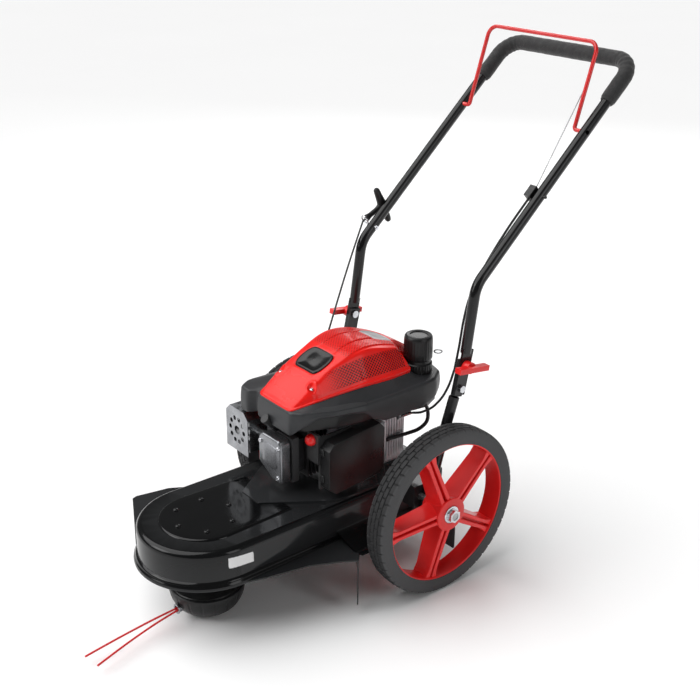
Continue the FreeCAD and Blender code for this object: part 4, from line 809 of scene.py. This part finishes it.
def build_rim(side, word):
    """Red wheel: hub cone, rim channel and grooved spokes in one piece."""
    hub_profile = ((0.192, 0.0095), (0.192, 0.0200), (0.195, 0.0225), (0.212, 0.0250), (0.232, 0.0290),
                   (0.2505, 0.0355), (0.2540, 0.0358), (0.2555, 0.0350), (0.2562, 0.0334), (0.2562, 0.0200),
                   (0.2556, 0.0190), (0.2556, 0.0092), (0.192, 0.0095))
    rim_profile = ((0.2045, 0.1482), (0.2045, 0.1462), (0.2055, 0.1450), (0.2100, 0.1442), (0.2260, 0.1425),
                   (0.2420, 0.1442), (0.2465, 0.1450), (0.2475, 0.1462), (0.2475, 0.1482), (0.2045, 0.1482))
    centre = (0.0, *AXLE)
    hub = spun("hub", hub_profile, centre, None, "red_plastic", side=side)
    ring = spun("ring", rim_profile, centre, None, "red_plastic", side=side, count=160)
    spokes = [spoke(side, math.radians(FIRST_SPOKE + 360 / SPOKES * k)) for k in range(SPOKES)]
    rim = joined("spoked_rim_" + word, [hub, ring] + spokes, "wheel_" + word, "red_plastic")
    finished(rim, 28, node="rim_" + word)


# ---- handle pieces

LEG = 0.1752
BAR = (0.5356, 1.0)
ALONG_LEG = np.array((0.0, 0.7344, 0.6788))
BAR_BEND = 0.045
GRIP_REACH = 0.062


def build_foam():
    """Foam sleeve over the bar and its bends: fuller between creases, pinched at its ends."""
    _, low_y, low_z = np.array((0.0, *BAR)) - ALONG_LEG * (BAR_BEND + GRIP_REACH)
    route = [(-LEG, low_y, low_z), (-LEG, *BAR), (LEG, *BAR), (LEG, low_y, low_z)]
    path = rounded_route(route, (BAR_BEND, BAR_BEND), 0.0015)
    length = np.concatenate(([0], np.cumsum(np.linalg.norm(np.diff(path, axis=0), axis=1))))
    from_end = np.minimum(length, length[-1] - length)
    radius = 0.0163 + 0.00014 * np.sin(length * 95) + 0.0001 * np.sin(length * 251 + 1)
    pinch = 0.0035 * np.exp(-from_end / 0.0035) + 0.0012 * np.exp(-((from_end - 0.004) / 0.0012) ** 2)
    radius = radius - pinch
    mid_bend = GRIP_REACH + 0.035
    for at in (mid_bend, length[-1] - mid_bend):
        radius = radius - 0.0004 * np.cos((length - at) * 520) * np.exp(-((length - at) / 0.03) ** 2)
    foam = swept("foam_sleeve", path, radius, "handle", "foam", sides=56)
    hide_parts("foam_grip")


GUIDE = np.array((-0.197, 0.142, 0.650))
PULL = np.array((0.0, 0.896, 0.444))
ACROSS_PULL = np.array((0.0, 0.444, -0.896))
ROPE_RADIUS = 0.002


def build_rope():
    """Starter rope: one run from the cowl to the eyelet, and a short end that leaves the eyelet towards the
    grip.
    """
    start = np.array((-0.084, -0.046, 0.470))
    end = GUIDE - PULL * 0.006
    sags = ((0, 0), (0.25, 0.0015), (0.5, 0.0025), (0.75, 0.002), (1, 0))
    path = spline_path([start + (end - start) * share - (0, sag, 0) for share, sag in sags])
    rope = swept("starter_rope_run", path, ROPE_RADIUS, None, "rope", sides=12)
    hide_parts("starter_rope")
    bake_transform(rope)
    tail = np.array([GUIDE + PULL * d for d in np.linspace(-0.008, 0.010, 10)])
    paid = swept("starter_rope_end", tail, ROPE_RADIUS, None, "rope", sides=12)
    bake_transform(paid)


def build_starter_grip():
    """T grip: a waisted stem flared to its foot, and a fuller crossbar with rounded ends."""
    centre = GUIDE + PULL * 0.055
    reach = np.linspace(-0.045, 0.045, 41)
    radius = 0.0088 + 0.0012 * np.cos(reach * 90) + 0.0006 * np.exp(-(reach / 0.008) ** 2)
    radius = radius * np.sqrt(np.clip(1 - (np.abs(reach) / 0.0455) ** 10, 0.02, 1))
    bar = swept("grip_bar", centre + np.outer(reach, ACROSS_PULL), radius, None, "black_plastic", sides=28)
    along = np.linspace(0.004, 0.052, 20)
    collar = 0.0022 * np.exp(-((along - 0.006) / 0.006) ** 2)
    stem_radius = 0.0058 + collar + 0.003 * ease(along, 0.035, 0.052)
    stem = swept("grip_stem", GUIDE + np.outer(along, PULL), stem_radius, None, "black_plastic", sides=28)
    grip = joined("starter_pull_grip", [bar, stem], "pull_grip", "black_plastic")
    creased(grip, 50)
    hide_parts("starter_grip")


# ---- cutting lines

LINE_DIAMETER = 0.004
LINES = (
    ("cutting_line_right", "line_right", 0.2156,
     ((0.0056, -0.4746, 0.030), (0.0065, -0.5266, 0.0284), (0.0094, -0.5806, 0.026),
      (0.013, -0.6346, 0.0232), (0.0176, -0.6897, 0.0198))),
    ("cutting_line_left", "line_left", 0.2141,
     ((0.0104, -0.4746, 0.030), (0.0174, -0.5266, 0.0282), (0.028, -0.5796, 0.0256),
      (0.0404, -0.6316, 0.0228), (0.0546, -0.6836, 0.0196))),
)


def build_lines():
    """Cutting lines: stiff round cords that droop outwards from the eyelet."""
    for name, node, length, route in LINES:
        line = curve_piece(name, route, LINE_DIAMETER)
        line.data.materials.append(finishes["nylon_red"])
        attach(line, "cutting_head")
        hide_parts(node)


# ---- engine details

def softened(node, name, width, body, slot, segments=4):
    """A CAD piece with rounded edges: loose triangles are merged into flats, then sharp edges bevelled."""
    mesh = bmesh.new()
    mesh.from_mesh(nodes[node].data)
    bmesh.ops.remove_doubles(mesh, verts=mesh.verts, dist=1e-5)
    bmesh.ops.dissolve_limit(mesh, angle_limit=math.radians(2), verts=mesh.verts, edges=mesh.edges)
    data = bpy.data.meshes.new(name)
    mesh.to_mesh(data)
    mesh.free()
    data.materials.append(finishes[slot])
    data.shade_smooth()
    piece = add_object(name, data)
    bevel = piece.modifiers.new("rounding", "BEVEL")
    bevel.width = width
    bevel.segments = segments
    bevel.limit_method = "ANGLE"
    bevel.angle_limit = math.radians(25)
    bevel.harden_normals = True
    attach(piece, body)
    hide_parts(node)


def superellipse(turn, half, power):
    """Distance from the middle to the outline |x / a|^p + |y / b|^p = 1, by angle."""
    return (np.abs(np.cos(turn) / half[0]) ** power + np.abs(np.sin(turn) / half[1]) ** power) ** (-1 / power)


def rounded_plate(name, centre, half, rise, slot, power):
    """A plate on a face square to Y: a superellipse outline (|a|^p + |b|^p = 1) and a rounded rim."""
    turn = full_turn(96)
    reach = superellipse(turn, (1, 1), power)
    rim = 0.0012 / min(half)
    steps = np.array(((0.004, 1.0), (0.5, 1.0), (1 - rim * 1.2, 1.0), (1 - rim * 0.4, 0.8), (1.0, 0.35),
                      (1.0, 0.0)))
    spread = steps[:, :1] * reach
    points = np.stack((centre[0] + spread * np.cos(turn) * half[0],
                       centre[1] + rise * steps[:, 1:] + 0 * spread,
                       centre[2] + spread * np.sin(turn) * half[1]), -1)
    plate = mesh_piece(name, points, grid_faces(len(steps), len(turn), wrap=True), None, slot)
    finished(plate, 40, "chassis")


def build_valve_cover():
    """Rounded cover with a shallow plain panel and three cap screws."""
    low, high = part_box("valve_cover")
    softened("valve_cover", "rocker_cover", 0.0045, "chassis", "silver")
    middle = ((low.x + high.x) / 2 + 0.002, low.y + 0.0002, (low.z + high.z) / 2 + 0.004)
    rounded_plate("rocker_cover_panel", middle, (0.024, 0.026), -0.0016, "silver", 4.0)
    profile = ((-0.0032, 0.0), (-0.0032, 0.0016), (-0.0022, 0.0019), (-0.0022, 0.0026), (-0.0032, 0.0030),
               (-0.0030, 0.0042), (-0.0020, 0.0048), (0.0006, 0.0048), (0.0006, 0.0))
    corners = ((high.x - 0.008, high.z - 0.016), (high.x - 0.010, low.z + 0.010),
               (low.x + 0.008, high.z - 0.020))
    for k, (x, z) in enumerate(corners):
        seat = (x, low.y + 0.0005, z)
        creased(spun(f"cover_screw_{k + 1}", profile, seat, "chassis", "zinc", "Y", count=36))


def build_filter_box():
    """Filter cover with rounded edges and two clips."""
    low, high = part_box("filter_cover")
    softened("filter_cover", "air_filter_cover", 0.006, "chassis", "black_plastic")
    for k, z in enumerate((low.z + 0.030, high.z - 0.034)):
        centre = (high.x - 0.0225, low.y - 0.0002, z)
        rounded_plate(f"filter_clip_{k + 1}", centre, (0.0065, 0.009), -0.0026, "black_plastic", 3.5)


def build_crankcase():
    """Cast crankcase: its wall and roof swell into evenly spaced ribs round the shaft.

    Each step is (share of the radius, share of the height, share of the rib).
    """
    low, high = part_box("crankcase")
    middle = ((low.x + high.x) / 2, (low.y + high.y) / 2)
    outer = min(high.x - low.x, high.y - low.y) / 2
    ribs, rib_deep = 22, 0.0035
    steps = np.array(((0.30, 1.0, 0), (0.52, 1.0, 0), (0.56, 1.0, 1), (0.80, 0.985, 1), (0.93, 0.955, 1),
                      (1.0, 0.88, 1), (1.0, 0.5, 1), (1.0, 0.12, 0.6), (0.96, 0.0, 0)))
    out, up, ribbed = steps.T[..., None]
    turn = full_turn(720)
    sunk = rib_deep * (1 - ease(np.cos(turn * ribs), 0.35, 0.75)) * ribbed
    radius = outer * out - sunk * (up < 0.99)
    height = low.z + (high.z - low.z) * up - sunk * (out < 0.99)
    piece = polar_piece("ribbed_crankcase", middle, turn, radius, height, None, "cast_aluminium")
    finished(piece, 30, "chassis", "crankcase")


def build_crankcase_block():
    """Ribbed casting behind the crankcase: a superellipse block whose walls carry upright ribs.

    Each level is (share of the outline, height, share of the rib).
    """
    middle, half, power = (0.0, 0.010), (0.056, 0.046), 7
    rib_deep, rib_pitch = 0.0026, 0.0072
    levels = np.array(((0.02, 0.316, 0), (0.80, 0.316, 0), (0.93, 0.3145, 0.2), (0.985, 0.309, 0.7),
                       (1.0, 0.303, 1), (1.0, 0.285, 1), (1.0, 0.262, 1), (1.0, 0.240, 1), (1.0, 0.224, 0.6),
                       (1.05, 0.2185, 0), (1.07, 0.2165, 0), (1.07, 0.2110, 0), (0.02, 0.2110, 0)))
    out, high, ribbed = levels.T[..., None]
    turn = full_turn(960, -np.pi)
    reach = superellipse(turn, half, power)
    rib = ease(np.cos(2 * np.pi * reach * (np.cos(turn) - np.sin(turn)) / rib_pitch), -0.1, 0.6)
    radius = reach * out - rib_deep * (1 - rib) * ribbed
    block = polar_piece("crankcase_block", middle, turn, radius, high, None, "cast_aluminium")
    finished(block, 35, "chassis")


def build_shroud_skirt():
    """Black inner skirt that shows under the shroud's front right edge: steps of (outwards, height)."""
    steps = np.array(((-0.0060, 0.3915), (-0.0062, 0.3800), (-0.0072, 0.3640), (-0.0092, 0.3585),
                      (-0.0115, 0.3585), (-0.0115, 0.3915)))
    angles = np.linspace(math.radians(-84), math.radians(4), 150)
    radius = read_table(shroud_table, angles)[0] + steps[:, :1]
    points = np.stack((ENGINE[0] + radius * np.cos(angles), ENGINE[1] + radius * np.sin(angles),
                       np.broadcast_to(steps[:, 1:], radius.shape)), -1)
    faces = grid_faces(len(steps), len(angles))
    creased(mesh_piece("shroud_skirt", points, faces, "chassis", "black_plastic"), 40)


def build_fuel_cap():
    """Filler cap: a fluted skirt under a smooth crowned barrel, and a wire loop on the neck beside it.

    Each step is (share of the radius, share of the height, share of the flute).
    """
    low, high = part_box("fuel_cap")
    middle = np.array(((low.x + high.x) / 2, (low.y + high.y) / 2))
    steps = np.array(((0.62, 0.02, 0), (0.98, 0.0, 0), (1.0, 0.02, 1), (1.0, 0.22, 1), (0.985, 0.245, 0),
                      (0.90, 0.27, 0), (0.89, 0.34, 0), (0.97, 0.37, 0), (1.0, 0.39, 0.35), (1.0, 0.60, 0.35),
                      (0.995, 0.80, 0.35), (0.985, 0.90, 0.2), (0.955, 0.955, 0), (0.90, 0.985, 0),
                      (0.80, 1.0, 0), (0.62, 0.985, 0), (0.60, 0.965, 0), (0.40, 0.965, 0),
                      (0.004, 0.965, 0)))
    out, up, fluted = steps.T[..., None]
    flutes, flute_deep = 30, 0.0011
    turn = full_turn(360)
    radius = (high.x - low.x) / 2 * out - flute_deep * ease(np.cos(turn * flutes), -0.2, 0.6) * fluted
    height = low.z + (high.z - low.z) * up
    cap = polar_piece("filler_cap", middle, turn, radius, height, None, "black_plastic")
    finished(cap, 32, "filler_cap", "fuel_cap")
    t = np.linspace(0, 2 * np.pi, 40)
    start = np.array((middle[0] + 0.0175, middle[1] + 0.0195, low.z + 0.043))
    outwards, across = (0.80, 0.60, 0.06), (-0.30, 0.42, 0.85)
    loop = start + np.outer(0.015 - 0.008 * np.cos(t), outwards) + np.outer(0.0035 * np.sin(t), across)
    swept("cap_wire_loop", loop, 0.0015, "chassis", "steel", sides=10)


def build_wheel_washers():
    """Dished washers under the wheel nuts: thin turned rings."""
    profile = ((0.2557, 0.0092), (0.2557, 0.0178), (0.2563, 0.0184), (0.2570, 0.0180), (0.2574, 0.0170),
               (0.2574, 0.0092))
    for side, word in SIDES:
        creased(spun("hub_washer_" + word, profile, (0, *AXLE), "chassis", "zinc", side=side))


# ---- deck details

DECK_TOP = 0.2055
DECK_HALF = 0.130
HEAD_BACK = -0.4136


def deck_outline(half, rear, high):
    """A level ring of points: a half circle in front, and straight sides that narrow a little behind."""
    arc = np.linspace(np.pi, 2 * np.pi, 96)
    share = np.linspace(0, 1, 48)[1:, None]
    rings = [np.stack((half * np.cos(arc), HEAD_BACK + half * np.sin(arc)), 1)]
    corners = np.array(((half, HEAD_BACK), (half * 0.93, rear), (-half * 0.93, rear), (-half, HEAD_BACK)))
    rings += [start * (1 - share) + end * share for start, end in zip(corners, corners[1:])]
    outline = np.concatenate(rings)[:-1]
    return np.column_stack((outline, np.full(len(outline), high)))


def deck_piece(name, rings, sharp):
    """A closed black piece on the deck through level rings with the same number of points."""
    faces = grid_faces(len(rings), len(rings[0]), wrap=True)
    finished(mesh_piece(name, np.stack(rings), faces, None, "frame_black"), sharp, "chassis")


def build_deck_pressing():
    """Raised pressing on the deck: the outline shrunk inwards step by step as it rises."""
    half, rear, flat = 0.088, -0.262, 0.0034
    levels = ((0.0, -0.0006), (0.0005, 0.0006), (0.0018, 0.0022), (0.0035, 0.0031), (0.0060, flat),
              (0.0200, flat), (0.0500, flat))
    rings = [deck_outline(half - inwards, rear - inwards, DECK_TOP + rise) for inwards, rise in levels]
    rings.append(np.tile((0.0, -0.36, DECK_TOP + flat), (len(rings[0]), 1)))
    deck_piece("deck_pressing", rings, 40)


def build_deck_flange():
    """Rolled two-step flange where the deck's side meets the pan, carried round the deck's outline."""
    levels = ((-0.0004, 0.1445), (0.0012, 0.1432), (0.0030, 0.1418), (0.0042, 0.1404), (0.0046, 0.1385),
              (0.0054, 0.1366), (0.0068, 0.1352), (0.0076, 0.1336), (0.0078, 0.1312), (0.0020, 0.1312),
              (-0.0004, 0.1330))
    rings = [deck_outline(DECK_HALF + out, 0.092, high) for out, high in levels]
    deck_piece("deck_flange", rings + rings[:1], 60)


def build_deck_screws():
    """Six domed screws with hollow drives on the pressing, evenly round the head's axis."""
    profile = ((0.2080, 0.0), (0.2080, 0.0058), (0.2094, 0.0058), (0.2108, 0.0052), (0.2118, 0.0040),
               (0.2122, 0.0026), (0.2112, 0.0020), (0.2108, 0.0))
    circle, first = 0.0593, 33
    for k in range(6):
        angle = math.radians(first + 60 * k)
        centre = (circle * math.cos(angle), HEAD_BACK + circle * math.sin(angle), 0.0)
        creased(spun(f"deck_screw_{k + 1}", profile, centre, "chassis", "frame_black", "Z", count=40), 50)


def build_side_web():
    """Sloping sheet between the deck's left side and the wheel: rounded front corner, rolled edge."""
    thick, corner_reach = 0.0022, 0.012
    share = np.linspace(0, 1, 24)[:, None]
    along = np.linspace(0, 1, 30)[None]
    past = np.clip(share - 0.72, 0, 1) / 0.28
    corner = corner_reach * (1 - np.sqrt(np.clip(1 - past ** 2, 0, 1)))
    y = -0.190 + corner + (0.090 - corner) * along
    x = 0.1295 + 0.0685 * share
    z = 0.1510 - 0.0200 * share ** 0.8 - 0.004 * ease(share, 0.93, 1.0)
    outside = np.stack(np.broadcast_arrays(x, y, z), -1)
    points = np.concatenate((outside, outside[::-1] - (0, 0, thick), outside[:1]))
    faces = grid_faces(len(points), points.shape[1])[:, ::-1]
    finished(mesh_piece("side_web", points, faces, None, "frame_black"), 40, "chassis")


def build_deck_label():
    """Plain white plate that follows the deck's side round into its nose; its rim is turned in."""
    rear, front, tall, proud, turned_in = -0.3868, -0.4415, 0.0245, 0.0007, 0.0009
    along, up = np.meshgrid(np.linspace(front, rear, 28), np.linspace(0, 1, 5), indexing="ij")
    past = np.clip(HEAD_BACK - along, 0, 0.1)
    far = (along - front) / (rear - front)
    z = 0.1655 - 0.0045 * far + tall * up
    on_rim = (np.abs(2 * far - 1) > 0.999) | (up < 0.01) | (up > 0.99)
    x = np.sqrt(DECK_HALF ** 2 - past ** 2) + proud - turned_in * on_rim
    white = painted("white_label", (0.80, 0.80, 0.80), (0.72, 0.72, 0.71), 0.3, 0.02, 0.1)
    points = np.stack((x, along, z), -1)
    mesh_piece("plain_label", points, grid_faces(*along.shape)[:, ::-1], "chassis", "frame_black", white)


# ---- handle details

def build_brake_wire():
    """Bare brake wire from the clip to the bail: a thin straight strand."""
    low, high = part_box("brake_wire")
    start = np.array((high.x - 0.001, low.y + 0.0006, low.z + 0.0006))
    end = np.array((low.x + 0.001, high.y - 0.0006, high.z - 0.0006))
    path = start + np.outer(np.linspace(0, 1, 60), end - start)
    wire = swept("brake_wire_strand", path, 0.0011, None, "steel", sides=10)
    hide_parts("brake_wire")
    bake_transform(wire)


def build_small_moulded():
    """Wing knobs and cable clip with their edges rounded."""
    for _, word in SIDES:
        softened("knob_" + word, "moulded_knob_" + word, 0.0032, "wing_knob_" + word, "red_plastic")
    softened("cable_clip", "cable_stop", 0.0025, "handle", "black_plastic", 3)


def build_line_head():
    """Dish of the line head: a crowned foot and wall turned about the head's axis, with shallow flutes.

    Each step is (share of the radius, share of the height).
    """
    low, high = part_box("line_head")
    steps = np.array(((0.004, 0.0), (0.30, 0.0), (0.42, 0.02), (0.56, 0.07), (0.70, 0.165), (0.81, 0.285),
                      (0.89, 0.42), (0.945, 0.56), (0.98, 0.70), (1.0, 0.84), (1.0, 0.90), (0.99, 0.94),
                      (0.965, 0.965), (0.93, 0.97), (0.91, 1.0), (0.60, 1.0), (0.58, 0.96), (0.30, 0.96),
                      (0.004, 0.96)))
    out, up = steps.T[..., None]
    flutes, flute_deep = 18, 0.0008
    turn = full_turn(480)
    wall = ease(out, 0.6, 0.9) * (1 - ease(up, 0.84, 0.93))
    radius = (high.x - low.x) / 2 * out - flute_deep * ease(np.cos(turn * flutes), 0.75, 0.95) * wall
    height = low.z + (high.z - low.z) * up
    head = polar_piece("line_head_cup", (0.0, HEAD_BACK), turn, radius, height, None, "black_plastic")
    finished(head, 32, "cutting_head", "line_head")


# ---- stage

CAMERA_AT = (1.64579, -1.38929, 1.38417)
CAMERA_RIGHT = (0.62642, 0.77943, 0.00949)
CAMERA_UP = (-0.3168, 0.24344, 0.91672)
CAMERA_AHEAD = (-0.71221, 0.57725, -0.39942)
FOCAL_LENGTH = 58.89


def build_camera():
    """The camera, turned so that its axes are the three named directions."""
    data = bpy.data.cameras.new("camera")
    data.lens = FOCAL_LENGTH
    data.sensor_width = 36.0
    camera = add_object("camera", data)
    turn = Matrix((CAMERA_RIGHT, CAMERA_UP, [-v for v in CAMERA_AHEAD])).transposed().to_4x4()
    turn.translation = Vector(CAMERA_AT)
    camera.matrix_world = turn
    bpy.context.scene.camera = camera


def area_light(name, place_at, aim, size, power):
    """A rectangular lamp that faces a point."""
    data = bpy.data.lights.new(name, "AREA")
    data.shape = "RECTANGLE"
    data.size, data.size_y = size
    data.energy = power
    lamp = add_object(name, data)
    lamp.location = place_at
    lamp.rotation_euler = (Vector(aim) - Vector(place_at)).to_track_quat("-Z", "Y").to_euler()


def sun_light(name, towards, power, spread):
    """Even light over the whole floor from one side, soft by its spread in degrees."""
    data = bpy.data.lights.new(name, "SUN")
    data.energy = power
    data.angle = math.radians(spread)
    add_object(name, data).rotation_euler = Vector(towards).to_track_quat("Z", "Y").to_euler()


def build_surround():
    """A world that shows white to the camera and lights the pieces only dimly."""
    white = (1, 1, 1, 1)
    world = bpy.data.worlds.new("surround")
    world.use_nodes = True
    bpy.context.scene.world = world
    tree = world.node_tree
    backdrop = tree.nodes["Background"]
    fill(tree, backdrop, {"Color": white, "Strength": 1.0})
    dim = put(tree, "Background", {"Color": white, "Strength": 0.17})
    seen = put(tree, "LightPath").outputs["Is Camera Ray"]
    mixed = put(tree, "MixShader", {0: seen, 1: dim.outputs[0], 2: backdrop.outputs[0]})
    fill(tree, tree.nodes["World Output"], {"Surface": mixed.outputs[0]})


def build_stage():
    """A pale floor under a pale surround, with one broad sun and three lamps."""
    reach = 14.0
    floor = bpy.data.meshes.new("floor")
    floor.from_pydata([(-reach, -reach, 0), (reach, -reach, 0), (reach, reach, 0), (-reach, reach, 0)],
                      [], [(0, 1, 2, 3)])
    material, tree, shader = blank("pale_floor")
    wide = noise(tree, place(tree), 1.3, 3.0)
    shade = blend_colour(tree, wide, (0.965, 0.965, 0.965), (0.985, 0.985, 0.985))
    fill(tree, shader, {"Base Color": shade, "Roughness": 1.0, "Specular IOR Level": 0.0})
    floor.materials.append(material)
    add_object("floor", floor)
    build_surround()
    sun_light("sky", (-0.45, -0.5, 1.0), 2.95, 70.0)
    area_light("front", (-1.2, -3.2, 1.9), (0, -0.1, 0.4), (1.6, 1.6), 26)
    area_light("side", (3.2, 0.4, 1.5), (0, 0, 0.4), (1.0, 2.0), 16)
    area_light("back", (-2.2, 2.6, 2.2), (0, 0.1, 0.4), (1.6, 1.6), 26)


build_cowl()
build_badges()
build_shroud()
for side, word in SIDES:
    build_tyre(side, word)
    build_rim(side, word)
build_foam()
build_rope()
build_starter_grip()
build_lines()
build_valve_cover()
build_filter_box()
build_crankcase()
build_crankcase_block()
build_shroud_skirt()
build_fuel_cap()
build_wheel_washers()
build_deck_pressing()
build_deck_label()
build_deck_flange()
build_deck_screws()
build_side_web()
build_brake_wire()
build_small_moulded()
build_line_head()
build_camera()
build_stage()
bpy.context.scene.view_settings.view_transform = "Standard"
